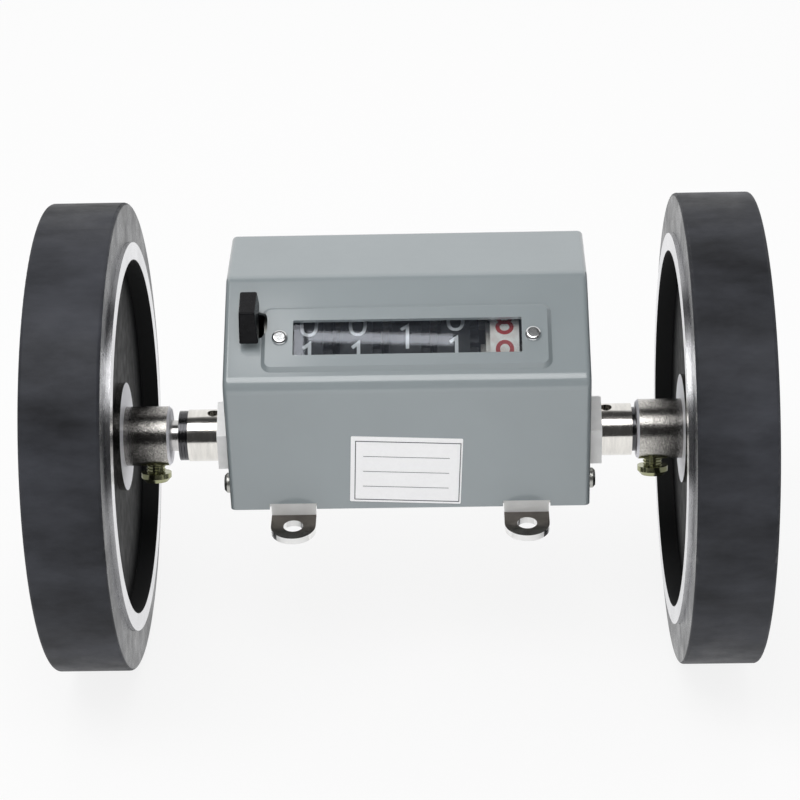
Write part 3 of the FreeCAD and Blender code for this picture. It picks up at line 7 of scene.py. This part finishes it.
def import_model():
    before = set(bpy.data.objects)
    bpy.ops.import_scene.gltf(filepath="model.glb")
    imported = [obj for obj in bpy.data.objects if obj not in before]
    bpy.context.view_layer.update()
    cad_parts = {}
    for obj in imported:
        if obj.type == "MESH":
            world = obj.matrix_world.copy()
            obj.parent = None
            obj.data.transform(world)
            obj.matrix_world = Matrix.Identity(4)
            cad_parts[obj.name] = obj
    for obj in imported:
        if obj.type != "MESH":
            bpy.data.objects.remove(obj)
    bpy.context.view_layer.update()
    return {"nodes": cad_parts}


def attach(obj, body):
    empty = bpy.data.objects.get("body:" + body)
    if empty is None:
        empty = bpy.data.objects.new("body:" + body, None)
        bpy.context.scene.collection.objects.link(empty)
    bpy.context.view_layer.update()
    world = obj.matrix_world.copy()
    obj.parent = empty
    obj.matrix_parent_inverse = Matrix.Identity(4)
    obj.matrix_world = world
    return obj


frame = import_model()
nodes = frame["nodes"]

MM = 0.001

# Places and sizes in the frame, in metres
AXLE = Vector((0, -0.00515, 0.013))
WHEEL_SET_MIDDLE_X = -1.5 * MM
HUB_SCREW_FROM_MIDDLE = 56.45 * MM
RIM_BLACK_RADIUS = 40.2 * MM
DRUM_AXIS = Vector((0, -0.003152, 0.029882))
DRUM_RADIUS = 12.5 * MM
DRUM_PITCH = 10.75 * MM
SLOPE = math.radians(30.497)
SLOPE_OUT = Vector((0, -math.sin(SLOPE), math.cos(SLOPE)))
SLOPE_UP = Vector((0, math.cos(SLOPE), math.sin(SLOPE)))
FRONT_FACE_Y = -22.3 * MM
FLOOR_Z = -40.05 * MM

# Colours used more than once
WHITE = (1, 1, 1)
WHEEL_BLACK = (0.005, 0.0055, 0.006)


# Materials

class Nodes:
    """A node tree, with short ways to add to it."""

    def __init__(self, tree):
        self.tree = tree

    def node(self, kind, **settings):
        made = self.tree.nodes.new(kind)
        for setting, amount in settings.items():
            setattr(made, setting, amount)
        return made

    def link(self, source, target):
        self.tree.links.new(source, target)

    def maths(self, operation, first, second=0.0):
        made = self.node("ShaderNodeMath", operation=operation)
        for socket, amount in zip(made.inputs, (first, second)):
            if isinstance(amount, (int, float)):
                socket.default_value = amount
            else:
                self.link(amount, socket)
        return made.outputs[0]

    def shifted(self, start, mask, change):
        """A value that changes by an amount where the mask is 1."""
        return self.maths("ADD", start, self.maths("MULTIPLY", mask, change))

    def coordinate(self, vector, axis):
        parts = self.node("ShaderNodeSeparateXYZ")
        self.link(vector, parts.inputs[0])
        return parts.outputs[axis]

    def spread(self, source, low, high, from_low=0.3, from_high=0.7):
        """A value moved from one range to another and kept within it."""
        made = self.node("ShaderNodeMapRange")
        ends = {"From Min": from_low, "From Max": from_high, "To Min": low, "To Max": high}
        for socket, amount in ends.items():
            made.inputs[socket].default_value = amount
        self.link(source, made.inputs["Value"])
        return made.outputs["Result"]

    def plain_shader(self, kind, colour, **inputs):
        made = self.node(kind)
        made.inputs["Color"].default_value = (*colour, 1)
        for socket, amount in inputs.items():
            made.inputs[socket].default_value = amount
        return made.outputs[0]

    def mix_shaders(self, share, first, second):
        made = self.node("ShaderNodeMixShader")
        for socket, source in zip(made.inputs, (share, first, second)):
            self.link(source, socket)
        return made.outputs[0]


class Paint(Nodes):
    """A material under construction: one Principled shader and the nodes that feed it."""

    def __init__(self, name, colour, roughness=0.5, metallic=0.0, **inputs):
        self.material = bpy.data.materials.new(name)
        self.material.use_nodes = True
        super().__init__(self.material.node_tree)
        self.shader = self.tree.nodes["Principled BSDF"]
        self.shader.inputs["Base Color"].default_value = (*colour, 1)
        self.shader.inputs["Roughness"].default_value = roughness
        self.shader.inputs["Metallic"].default_value = metallic
        for socket, amount in inputs.items():
            self.shader.inputs[socket.replace("_", " ")].default_value = amount
        self.colour = colour
        self.place = self.node("ShaderNodeTexCoord").outputs["Object"]
        self.height = None

    def feed(self, name, source):
        """Links a source to an input of the Principled shader."""
        self.link(source, self.shader.inputs[name])

    def surface(self, shader):
        """Shows a shader other than the Principled one."""
        self.link(shader, self.tree.nodes["Material Output"].inputs["Surface"])

    def stretched(self, scale):
        mapping = self.node("ShaderNodeMapping")
        mapping.inputs["Scale"].default_value = scale
        self.link(self.place, mapping.inputs["Vector"])
        return mapping.outputs["Vector"]

    def noise(self, scale, detail=3.0, rough=0.5, stretch=None):
        """Noise with a given number of blotches to the metre."""
        made = self.node("ShaderNodeTexNoise")
        made.inputs["Scale"].default_value = scale
        made.inputs["Detail"].default_value = detail
        made.inputs["Roughness"].default_value = rough
        self.link(self.stretched(stretch) if stretch else self.place, made.inputs["Vector"])
        return made.outputs["Fac"]

    def blend(self, share, first, second):
        """A colour between two, each a colour or a socket."""
        made = self.node("ShaderNodeMix", data_type="RGBA")
        self.link(share, made.inputs["Factor"])
        for socket, colour in ((made.inputs[6], first), (made.inputs[7], second)):
            if isinstance(colour, tuple):
                socket.default_value = (*colour, 1)
            else:
                self.link(colour, socket)
        return made.outputs[2]

    def vary_colour(self, source, darkest, lightest):
        """Varies the paint's own colour between two shares of it."""
        low = tuple(min(1, part * darkest) for part in self.colour)
        high = tuple(min(1, part * lightest) for part in self.colour)
        self.feed("Base Color", self.blend(self.spread(source, 0, 1), low, high))

    def vary_roughness(self, source, low, high):
        self.feed("Roughness", self.spread(source, low, high))

    def bump(self, source, depth):
        """Raises the surface by up to a depth in metres."""
        made = self.node("ShaderNodeBump")
        made.inputs["Distance"].default_value = depth
        made.inputs["Strength"].default_value = 1.0
        self.link(source, made.inputs["Height"])
        if self.height is not None:
            self.link(self.height, made.inputs["Normal"])
        self.height = made.outputs["Normal"]
        self.feed("Normal", self.height)

    def facing(self, axis, least=0.7):
        """1 where the surface faces along an axis of the object, either way round, and 0 elsewhere."""
        normal = self.node("ShaderNodeTexCoord").outputs["Normal"]
        return self.maths("GREATER_THAN", self.maths("ABSOLUTE", self.coordinate(normal, axis)), least)

    def radius_from(self, centre):
        """Distance from an axis along X through a centre."""
        moved = self.node("ShaderNodeVectorMath", operation="SUBTRACT")
        self.link(self.place, moved.inputs[0])
        moved.inputs[1].default_value = centre
        flat = self.node("ShaderNodeVectorMath", operation="MULTIPLY")
        self.link(moved.outputs[0], flat.inputs[0])
        flat.inputs[1].default_value = (0, 1, 1)
        length = self.node("ShaderNodeVectorMath", operation="LENGTH")
        self.link(flat.outputs[0], length.inputs[0])
        return length.outputs["Value"]


def case_paint():
    """Smooth enamel under a clear gloss."""
    paint = Paint("case_enamel", (0.262, 0.298, 0.312), 0.34,
                  Coat_Weight=1.0, Coat_Roughness=0.1, Coat_IOR=1.6)
    paint.vary_colour(paint.noise(45, 3), 0.97, 1.03)
    paint.vary_roughness(paint.noise(300, 2), 0.31, 0.38)
    paint.bump(paint.noise(240, 2), 0.012 * MM)
    return paint.material


def plated(name, colour, rough_low, rough_high, streaks=(900, 120, 120), depth=0.008 * MM):
    """Bare or plated metal with turned or rolled streaks."""
    paint = Paint(name, colour, rough_low, 1.0)
    paint.vary_colour(paint.noise(1.0, 3, 0.6, streaks), 0.9, 1.06)
    paint.vary_roughness(paint.noise(700, 3), rough_low, rough_high)
    paint.bump(paint.noise(1.0, 2, 0.5, streaks), depth)
    return paint.material


def base_plating():
    """Rolled sheet, pale, with a painted dark reflection on the faces that lie level, dullest on its
    uprights.
    """
    paint = Paint("sheet_nickel", (0.74, 0.73, 0.71), 0.2, 1.0)
    level = paint.facing("Z")
    upright = paint.facing("Y")
    grain = paint.spread(paint.noise(260, 3), 0, 1)
    # Painted reflection: faces that lie level are coloured dark brown in place of the dark room they would
    # reflect.
    painted_dark_reflection = paint.blend(grain, (0.17, 0.155, 0.14), (0.24, 0.22, 0.2))
    pale = paint.blend(grain, (0.86, 0.86, 0.85), (0.95, 0.95, 0.94))
    paint.feed("Base Color", paint.blend(level, pale, painted_dark_reflection))
    rough = paint.spread(paint.noise(700, 3), 0.16, 0.26)
    paint.feed("Roughness", paint.shifted(rough, upright, 0.25))
    paint.feed("Metallic", paint.shifted(1.0, upright, -0.75))
    paint.bump(paint.noise(260, 2), 0.02 * MM)
    return paint.material


def satin_plating():
    """Dull silvery plating that takes light like paint."""
    paint = Paint("satin_nickel", (0.97, 0.97, 0.965), 0.4, 0.25)
    paint.vary_colour(paint.noise(500, 3), 0.93, 1.0)
    paint.bump(paint.noise(900, 2), 0.01 * MM)
    return paint.material


def hub_plating():
    """Nickel over a coarsely ground barrel, darker towards the wheel, with a satin end face lightened as a
    painted reflection of the white floor.
    """
    darkening_start, darkening_end = 52 * MM, 61 * MM
    paint = Paint("hub_nickel", (0.74, 0.72, 0.68), 0.16, 1.0)
    face = paint.facing("X")
    from_middle = paint.maths("ABSOLUTE", paint.coordinate(paint.place, "X"))
    towards_wheel = paint.spread(from_middle, 0, 1, darkening_start, darkening_end)
    grain = paint.spread(paint.noise(2200, 3), 0, 1)
    # The barrel's colour darkens towards the wheel.
    tone_away_from_wheel = paint.blend(grain, (0.48, 0.465, 0.44), (0.68, 0.66, 0.62))
    darker_tone_near_wheel = paint.blend(grain, (0.16, 0.155, 0.15), (0.4, 0.385, 0.365))
    ground = paint.blend(towards_wheel, tone_away_from_wheel, darker_tone_near_wheel)
    # End faces: partly a satin finish, partly a painted reflection, lighter and less metallic to stand in
    # for the white floor they reflect.
    paint.feed("Base Color", paint.blend(face, ground, (0.82, 0.82, 0.86)))
    rough = paint.spread(paint.noise(500, 3), 0.13, 0.26)
    paint.feed("Roughness", paint.shifted(rough, face, 0.3))
    paint.feed("Metallic", paint.shifted(1.0, face, -0.5))
    paint.bump(paint.noise(2600, 3, 0.7), 0.04 * MM)
    return paint.material


def tyre_rubber():
    """Dull rubber, scuffed all over and smoother on the sides."""
    paint = Paint("tyre_rubber", (0.02, 0.021, 0.025), 0.55, Specular_IOR_Level=0.18)
    side = paint.facing("X", 0.9)
    paint.vary_colour(paint.noise(1.0, 5, 0.62, (26, 60, 60)), 0.6, 2.6)
    rough = paint.spread(paint.noise(130, 4, 0.65), 0.42, 0.6)
    paint.feed("Roughness", paint.shifted(rough, side, -0.24))
    paint.bump(paint.noise(1700, 4, 0.6), 0.02 * MM)
    paint.bump(paint.noise(60, 3), 0.04 * MM)
    return paint.material


def wheel_black():
    """Black paint that hardly shines."""
    paint = Paint("wheel_black", WHEEL_BLACK, 0.5, Specular_IOR_Level=0.06)
    paint.vary_colour(paint.noise(140, 4), 0.7, 1.5)
    paint.vary_roughness(paint.noise(300, 3), 0.42, 0.56)
    paint.bump(paint.noise(900, 3), 0.01 * MM)
    return paint.material


def rim_metal():
    """Turned metal rim, painted black on its inner wall, with the seam where the band was closed."""
    seam_half_width = 0.11 * MM
    paint = Paint("rim_metal", (0.74, 0.74, 0.75), 0.24, Specular_IOR_Level=0.25)
    radius = paint.radius_from(AXLE)
    bright = paint.maths("GREATER_THAN", radius, RIM_BLACK_RADIUS)
    aside = paint.maths("ABSOLUTE", paint.maths("SUBTRACT", paint.coordinate(paint.place, "Y"), AXLE.y))
    below = paint.maths("LESS_THAN", paint.coordinate(paint.place, "Z"), AXLE.z)
    seam = paint.maths("MULTIPLY", paint.maths("LESS_THAN", aside, seam_half_width), below)
    rings = paint.node("ShaderNodeTexNoise", noise_dimensions="1D")
    rings.inputs["Scale"].default_value = 5200
    paint.link(radius, rings.inputs["W"])
    turned = paint.blend(paint.spread(rings.outputs["Fac"], 0, 1), (0.62, 0.62, 0.64), (0.84, 0.84, 0.86))
    patchy = paint.blend(paint.spread(paint.noise(110, 4), 0, 1), (0.6, 0.6, 0.62), (0.86, 0.86, 0.88))
    metal = paint.blend(paint.spread(paint.noise(60, 2), 0, 1), turned, patchy)
    seamed = paint.blend(seam, metal, (0.12, 0.12, 0.13))
    paint.feed("Base Color", paint.blend(bright, WHEEL_BLACK, seamed))
    paint.feed("Metallic", bright)
    paint.feed("Roughness", paint.shifted(0.5, bright, -0.26))
    paint.bump(paint.noise(700, 3), 0.01 * MM)
    return paint.material


def drum_plastic(name, colour):
    """Moulded plastic with a slight mottle."""
    paint = Paint(name, colour, 0.42, Specular_IOR_Level=0.25)
    paint.vary_colour(paint.noise(600, 3), 0.85, 1.15)
    paint.vary_roughness(paint.noise(900, 2), 0.36, 0.5)
    paint.bump(paint.noise(1500, 2), 0.01 * MM)
    return paint.material


def printed(name, colour):
    """Ink of slightly uneven strength."""
    paint = Paint(name, colour)
    paint.vary_colour(paint.noise(1800, 3), 0.9, 1.03)
    return paint.material


def clear_pane():
    """Clear plastic: mirror-like by its gloss, see-through elsewhere, with a thin film of bluish dust."""
    dust_colour = (0.62, 0.68, 0.82)
    paint = Paint("clear_pane", dust_colour)
    paint.tree.nodes.remove(paint.shader)
    clear = paint.plain_shader("ShaderNodeBsdfTransparent", (0.96, 0.975, 0.98))
    dust = paint.plain_shader("ShaderNodeBsdfDiffuse", dust_colour)
    gloss = paint.plain_shader("ShaderNodeBsdfGlossy", (0.9, 0.92, 1), Roughness=0.015)
    fresnel = paint.node("ShaderNodeFresnel")
    fresnel.inputs["IOR"].default_value = 1.49
    body = paint.mix_shaders(paint.spread(paint.noise(300, 3), 0.009, 0.018), clear, dust)
    paint.surface(paint.mix_shaders(fresnel.outputs[0], body, gloss))
    return paint.material


def label_paper():
    """White paper with a faint gloss and fine fibres."""
    paint = Paint("label_paper", (0.95, 0.95, 0.96), 0.45, Coat_Weight=0.3, Coat_Roughness=0.15)
    paint.vary_colour(paint.noise(1500, 4), 0.98, 1.01)
    paint.bump(paint.noise(3000, 3), 0.004 * MM)
    return paint.material


def knob_plastic():
    """Glossy black moulded plastic."""
    paint = Paint("knob_plastic", (0.006, 0.006, 0.007), 0.24, Specular_IOR_Level=0.1)
    paint.vary_colour(paint.noise(800, 2), 0.8, 1.4)
    paint.vary_roughness(paint.noise(900, 3), 0.19, 0.3)
    paint.bump(paint.noise(900, 2), 0.006 * MM)
    return paint.material


nickel = plated("bush_nickel", (0.80, 0.78, 0.74), 0.09, 0.17)
satin_nickel = satin_plating()
sheet_plating = base_plating()
dark_steel = plated("dark_steel", (0.09, 0.09, 0.095), 0.14, 0.22)
zinc = plated("dull_zinc", (0.52, 0.52, 0.49), 0.32, 0.45, (300, 300, 300), 0.02 * MM)
yellow_zinc = plated("yellow_zinc", (0.36, 0.37, 0.22), 0.14, 0.24, (500, 500, 500), 0.01 * MM)
steel = plated("ground_steel", (0.63, 0.62, 0.61), 0.16, 0.26)
brass = plated("cut_brass", (0.70, 0.55, 0.26), 0.22, 0.34, (400, 400, 400), 0.01 * MM)
rivet_metal = plated("rivet_metal", (0.78, 0.79, 0.80), 0.14, 0.26, (500, 500, 500), 0.01 * MM)
black_drum = drum_plastic("black_drum", (0.016, 0.017, 0.02))
cream_drum = drum_plastic("cream_drum", (0.97, 0.885, 0.825))
pinion_plastic = drum_plastic("pinion_plastic", (0.55, 0.53, 0.48))
white_ink = printed("white_figures", (0.78, 0.79, 0.80))
red_ink = printed("red_figures", (0.50, 0.045, 0.05))
dark_ink = printed("label_lines", (0.06, 0.065, 0.075))
enamel = case_paint()
rubber = tyre_rubber()
black_wheel = wheel_black()
rim_finish = rim_metal()
hub_finish = hub_plating()
pane = clear_pane()
paper = label_paper()
black_plastic = knob_plastic()

FINISHES = {
    enamel: ["cover"],
    pane: ["window_lens"],
    rivet_metal: ["window_rivets"],
    paper: ["label_plate"],
    sheet_plating: ["base_plate"],
    zinc: ["left_side_plate", "right_side_plate", "frame_screws", "cover_screws", "reset_arm",
           "reset_hammers"],
    steel: ["tie_rods", "counter_shaft", "pinion_shaft", "shaft_clips", "reset_spring", "main_shaft",
            "reset_shaft", "reset_shaft_clip"],
    dark_steel: ["left_thrust_washers", "right_retaining_ring"],
    nickel: ["left_bearing_bush", "right_bearing_bush"],
    satin_nickel: ["bush_nuts"],
    black_wheel: ["left_wheel_disc", "right_wheel_disc"],
    rim_finish: ["left_rim", "right_rim"],
    rubber: ["left_tyre", "right_tyre"],
    hub_finish: ["left_hub", "right_hub"],
    yellow_zinc: ["left_hub_screw", "right_hub_screw"],
    black_drum: ["thousands_drum", "hundreds_drum", "tens_drum", "units_drum"],
    cream_drum: ["tenths_drum"],
    brass: ["counter_gear"],
    pinion_plastic: ["transfer_pinion_1", "transfer_pinion_2", "transfer_pinion_3", "transfer_pinion_4"],
    black_plastic: ["reset_knob"],
}
for finish, names in FINISHES.items():
    for name in names:
        node = nodes[name]
        node.data.materials.clear()
        node.data.materials.append(finish)


# Meshes

def put_in_scene(name, data):
    made = bpy.data.objects.new(name, data)
    bpy.context.scene.collection.objects.link(made)
    return made


def new_mesh(name, vertices, faces, material):
    mesh = bpy.data.meshes.new(name)
    mesh.from_pydata(vertices, [], faces)
    mesh.materials.append(material)
    mesh.validate()
    return put_in_scene(name, mesh)


def add_mesh(name, vertices, faces, material, body):
    made = new_mesh(name, vertices, faces, material)
    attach(made, body)
    return made


def bar_faces(start, sections):
    """Faces of a bar, closed at its ends, whose four-cornered sections follow on from one vertex."""
    last = start + 4 * (sections - 1)
    faces = []
    for row in range(start, last, 4):
        for corner in range(4):
            after = (corner + 1) % 4
            faces.append((row + corner, row + after, row + 4 + after, row + 4 + corner))
    return faces + [(start, start + 3, start + 2, start + 1), (last, last + 1, last + 2, last + 3)]


# Figures on the drums: strokes of a plain face, bent round each drum

def arc(x, y, across, up, start, end, steps=20):
    """Points of an ellipse's arc, in shares of a figure's half width and half height."""
    angles = [math.radians(start + (end - start) * step / steps) for step in range(steps + 1)]
    return [(x + across * math.cos(angle), y + up * math.sin(angle)) for angle in angles]


def ring(x, y, across, up, square=2.0, steps=40):
    """Points of a closed oval; square above 2 makes its sides straighter."""
    points = []
    for step in range(steps + 1):
        angle = 2 * math.pi * step / steps
        along, over = math.cos(angle), math.sin(angle)
        points.append((x + across * math.copysign(abs(along) ** (2 / square), along),
                       y + up * math.copysign(abs(over) ** (2 / square), over)))
    return points


SIX = [ring(0, -0.42, 1, 0.58), arc(0.95, -0.42, 1.95, 1.42, 180, 104)]
FIGURES = [
    [ring(0, 0, 1, 1, 2.6)],
    [[(-0.75, 0.62), (0.12, 1), (0.12, -1)]],
    [arc(0, 0.42, 1, 0.58, 165, -40) + [(-1, -1), (1, -1)]],
    [arc(0, 0.48, 0.92, 0.52, 160, -90), arc(0, -0.46, 1, 0.54, 90, -160)],
    [[(0.45, -1), (0.45, 1), (-1, -0.4), (1, -0.4)]],
    [[(0.9, 1), (-0.75, 1), (-0.9, 0.05)] + arc(-0.02, -0.36, 1, 0.64, 140, -145)],
    SIX,
    [[(-1, 1), (1, 1), (-0.35, -1)]],
    [ring(0, 0.5, 0.86, 0.5), ring(0, -0.46, 1, 0.54)],
    [[(-x, -y) for x, y in stroke] for stroke in SIX],
]
FIGURE_DEGREES = 36
FIGURE_WIDTH = 4.0 * MM
FIGURE_HEIGHT = 6.5 * MM
WHITE_STROKE = 0.75 * MM
RED_STROKE = 0.92 * MM
INK_RISE = 0.05 * MM
LONGEST_STEP = 0.4 * MM

# Each drum from left to right: its name, one of its figures, and that figure's angle in degrees
DRUMS = [
    ("thousands", 0, 15.7),
    ("hundreds", 0, 15.7),
    ("tens", 1, -0.7),
    ("units", 0, 20.0),
    ("tenths", 8, 14.8),
]


def dense(points):
    """The same stroke with points close enough to bend round a drum."""
    filled = [Vector(points[0])]
    for point in points[1:]:
        start, end = filled[-1], Vector(point)
        steps = max(1, math.ceil((end - start).length / LONGEST_STEP))
        filled.extend(start.lerp(end, step / steps) for step in range(1, steps + 1))
    return filled


def ribbon(points, width):
    """Left and right edges of a stroke of even width along points, with mitred corners."""
    closed = (Vector(points[0]) - Vector(points[-1])).length < width / 10
    count = len(points) - 1 if closed else len(points)
    left, right = [], []
    for i in range(count + (1 if closed else 0)):
        here = Vector(points[i % count])
        before = Vector(points[(i - 1) % count]) if closed or i > 0 else None
        after = Vector(points[(i + 1) % count]) if closed or i < count - 1 else None
        first = (here - before).normalized() if before is not None else (after - here).normalized()
        second = (after - here).normalized() if after is not None else first
        along = (first + second).normalized()
        across = Vector((-along.y, along.x))
        reach = width / 2 / max(0.5, across.dot(Vector((-first.y, first.x))))
        left.append(here + across * reach)
        right.append(here - across * reach)
    return left, right


def on_drum(x, angle, rise):
    """A point above a drum's surface; angles run up the slope from where the drum faces straight out."""
    out = SLOPE_OUT * math.cos(angle) + SLOPE_UP * math.sin(angle)
    return DRUM_AXIS + Vector((x, 0, 0)) + out * (DRUM_RADIUS + rise)


def figures(drum, middle_x, known_figure, known_angle, ink, stroke_width):
    """Ten figures round a drum, spaced from one whose angle is known."""
    vertices, faces = [], []
    half_width, half_height = (FIGURE_WIDTH - stroke_width) / 2, (FIGURE_HEIGHT - stroke_width) / 2
    for figure, strokes in enumerate(FIGURES):
        centre = math.radians(known_angle - FIGURE_DEGREES * (figure - known_figure))
        for stroke in strokes:
            points = [(x * half_width, y * half_height) for x, y in stroke]
            left, right = ribbon(dense(points), stroke_width)
            faces += bar_faces(len(vertices), len(left))
            for one, other in zip(left, right):
                for edge, rise in ((one, -INK_RISE), (one, INK_RISE), (other, INK_RISE), (other, -INK_RISE)):
                    vertices.append(on_drum(middle_x + edge.x, centre + edge.y / DRUM_RADIUS, rise))
    add_mesh(f"{drum}_figures", vertices, faces, ink, drum)


for column, (drum, known_figure, known_angle) in enumerate(DRUMS, start=-2):
    red = drum == "tenths"
    figures(drum, column * DRUM_PITCH, known_figure, known_angle, red_ink if red else white_ink,
            RED_STROKE if red else WHITE_STROKE)


# Label border and rules, printed on the bare label

LABEL_THICKNESS = 0.15 * MM
LABEL_CENTRE = Vector((-0.6 * MM, FRONT_FACE_Y - LABEL_THICKNESS, 13.9 * MM))
LABEL_TILT = Matrix.Rotation(math.radians(2.6), 3, "Y")
LABEL_INK_RISE = 0.03 * MM
BORDER = 0.2 * MM
BORDER_X, BORDER_Z = 0.31 * MM, -0.3 * MM
BORDER_WIDTH, BORDER_HEIGHT = 23.1 * MM, 15.2 * MM
RULE_LENGTH, RULE_WIDTH = 19.0 * MM, 0.12 * MM
RULE_LEVELS = (3.4 * MM, -0.5 * MM, -4.4 * MM)


def label_bar(name, x, z, width, height):
    corners = [(x - width / 2, z - height / 2), (x + width / 2, z - height / 2),
               (x + width / 2, z + height / 2), (x - width / 2, z + height / 2)]
    vertices = [LABEL_CENTRE + LABEL_TILT @ Vector((along, y, up))
                for y in (0.0, -LABEL_INK_RISE) for along, up in corners]
    faces = [(4, 5, 6, 7), (0, 3, 2, 1), (0, 1, 5, 4), (1, 2, 6, 5), (2, 3, 7, 6), (3, 0, 4, 7)]
    add_mesh(name, vertices, faces, dark_ink, "case")


for side in (1, -1):
    label_bar(f"label_border_upright_{side + 2}", BORDER_X + side * BORDER_WIDTH / 2, BORDER_Z,
              BORDER, BORDER_HEIGHT + BORDER)
    label_bar(f"label_border_level_{side + 2}", BORDER_X, BORDER_Z + side * BORDER_HEIGHT / 2,
              BORDER_WIDTH, BORDER)
for number, level in enumerate(RULE_LEVELS, start=1):
    label_bar(f"label_rule_{number}", 0, level, RULE_LENGTH, RULE_WIDTH)


# Thread on the hub screws between hub and head

SCREW_TILT = math.radians(20.0)
SCREW_OUT = Vector((0, -math.sin(SCREW_TILT), -math.cos(SCREW_TILT)))
SCREW_ASIDE = Vector((0, math.cos(SCREW_TILT), -math.sin(SCREW_TILT)))
THREAD_START = 6.3 * MM
THREAD_LENGTH = 2.1 * MM
THREAD_PITCH = 0.7 * MM
THREAD_ROOT = 1.9 * MM
THREAD_CREST = 2.2 * MM
THREAD_STEPS = 24

# Corners of the thread: radius, and shift along the screw in pitches
THREAD_SECTION = [(THREAD_ROOT, -0.25), (THREAD_CREST, -0.06), (THREAD_CREST, 0.06), (THREAD_ROOT, 0.25)]


def screw_thread(side, sign):
    place = Vector((WHEEL_SET_MIDDLE_X + sign * HUB_SCREW_FROM_MIDDLE, AXLE.y, AXLE.z))
    total = int(THREAD_LENGTH / THREAD_PITCH * THREAD_STEPS)
    vertices = []
    for step in range(total + 1):
        angle = 2 * math.pi * step / THREAD_STEPS
        level = THREAD_START + THREAD_PITCH * step / THREAD_STEPS
        ray = Vector((1, 0, 0)) * math.cos(angle) + SCREW_ASIDE * math.sin(angle)
        for radius, shift in THREAD_SECTION:
            vertices.append(place + SCREW_OUT * (level + shift * THREAD_PITCH) + ray * radius)
    made = add_mesh(f"{side}_hub_screw_thread", vertices, bar_faces(0, total + 1), yellow_zinc,
                    "wheel_set")
    made.data.shade_smooth()


screw_thread("left", -1)
screw_thread("right", 1)


# Floor, light and camera

SCENE_MIDDLE = (0, 0, 0.02)
EVEN_LIGHT = 0.56
FLOOR_GLOW = 0.85
FLOOR_HALF_WIDTH = 4.0

# The room that shiny surfaces see: degrees up from level in front and over the top, and brightness
ROOM = [(-20, 0.95), (-12, 0.05), (44, 0.05), (52, 0.16), (84, 0.16), (92, 0.05), (112, 0.06), (124, 0.95)]


def white_floor():
    """White paper that the camera and shiny surfaces see lit almost evenly."""
    paint = Paint("floor", (0.9, 0.9, 0.9), 0.9)
    glow = paint.plain_shader("ShaderNodeEmission", WHITE)
    path = paint.node("ShaderNodeLightPath")
    seen = paint.maths("MAXIMUM", path.outputs["Is Camera Ray"], path.outputs["Is Glossy Ray"])
    share = paint.maths("MULTIPLY", seen, FLOOR_GLOW)
    paint.surface(paint.mix_shaders(share, paint.shader.outputs[0], glow))
    return paint.material


def floor():
    corners = [(x * FLOOR_HALF_WIDTH, y * FLOOR_HALF_WIDTH, FLOOR_Z)
               for x, y in ((-1, -1), (1, -1), (1, 1), (-1, 1))]
    made = new_mesh("floor", corners, [(0, 1, 2, 3)], white_floor())


def world():
    """Even light, with the room for shiny surfaces and plain white for the camera."""
    made = bpy.data.worlds.new("studio")
    bpy.context.scene.world = made
    made.use_nodes = True
    made.node_tree.nodes.clear()
    sky = Nodes(made.node_tree)
    place = sky.node("ShaderNodeTexCoord").outputs["Generated"]
    forward = sky.maths("MULTIPLY", sky.coordinate(place, "Y"), -1)
    climb = sky.maths("ARCTAN2", sky.coordinate(place, "Z"), forward)
    ramp = sky.node("ShaderNodeValToRGB")
    sky.link(sky.spread(climb, 0, 1, -math.pi, math.pi), ramp.inputs[0])
    elements = ramp.color_ramp.elements
    while len(elements) < len(ROOM):
        elements.new(0.5)
    for element, (degrees, light) in zip(elements, ROOM):
        element.position = (degrees + 180) / 360
        element.color = (light, light, light, 1)
    room = sky.node("ShaderNodeBackground")
    sky.link(ramp.outputs[0], room.inputs["Color"])
    plain = sky.plain_shader("ShaderNodeBackground", WHITE, Strength=EVEN_LIGHT)
    backdrop = sky.plain_shader("ShaderNodeBackground", WHITE)
    path = sky.node("ShaderNodeLightPath")
    lit = sky.mix_shaders(path.outputs["Is Glossy Ray"], plain, room.outputs[0])
    shown = sky.mix_shaders(path.outputs["Is Camera Ray"], lit, backdrop)
    sky.link(shown, sky.node("ShaderNodeOutputWorld").inputs["Surface"])


def softbox(name, place, aim, width, depth, power, mirrored=True):
    lamp = bpy.data.lights.new(name, "AREA")
    lamp.shape = "RECTANGLE"
    lamp.size = width
    lamp.size_y = depth
    lamp.energy = power
    made = put_in_scene(name, lamp)
    made.location = place
    made.rotation_euler = (Vector(aim) - Vector(place)).to_track_quat("-Z", "Y").to_euler()
    made.visible_glossy = mirrored


def camera():
    """The photo's own view, fitted with the wheels' size as its scale."""
    data = bpy.data.cameras.new("camera")
    data.sensor_width = 36
    data.lens = 108.68
    data.shift_x = 0.01653
    data.shift_y = 0.00808
    data.clip_start = 0.05
    data.clip_end = 20
    place = (0.010586, -0.46943, 0.304008)
    right = Vector((0.99947, 0.01643, -0.02798))
    up = Vector((0.01529, 0.52224, 0.85266))
    back = Vector((0.02862, -0.85264, 0.52172))
    turn = Matrix((right, up, back)).transposed().to_4x4()
    made = put_in_scene("camera", data)
    made.matrix_world = Matrix.Translation(place) @ turn
    bpy.context.scene.camera = made


floor()
world()
softbox("overhead", (-0.13, -0.22, 0.62), SCENE_MIDDLE, width=0.62, depth=0.32, power=2.0)
softbox("behind", (0, 0.45, 0.5), SCENE_MIDDLE, width=0.5, depth=0.4, power=0.8, mirrored=False)
softbox("window_strip", (-0.024, -0.0205, 0.64), (-0.0232, 0.0, 0.04), width=0.068, depth=0.0045,
        power=0.0036)
softbox("rivet_light", (-0.078, -0.02, 0.64), (-0.078, 0, 0.04), width=0.036, depth=0.036, power=0.013)
softbox("front_fill", (0, -0.7, 0.1), SCENE_MIDDLE, width=0.5, depth=0.3, power=0.6, mirrored=False)
camera()
bpy.context.scene.view_settings.view_transform = "Standard"
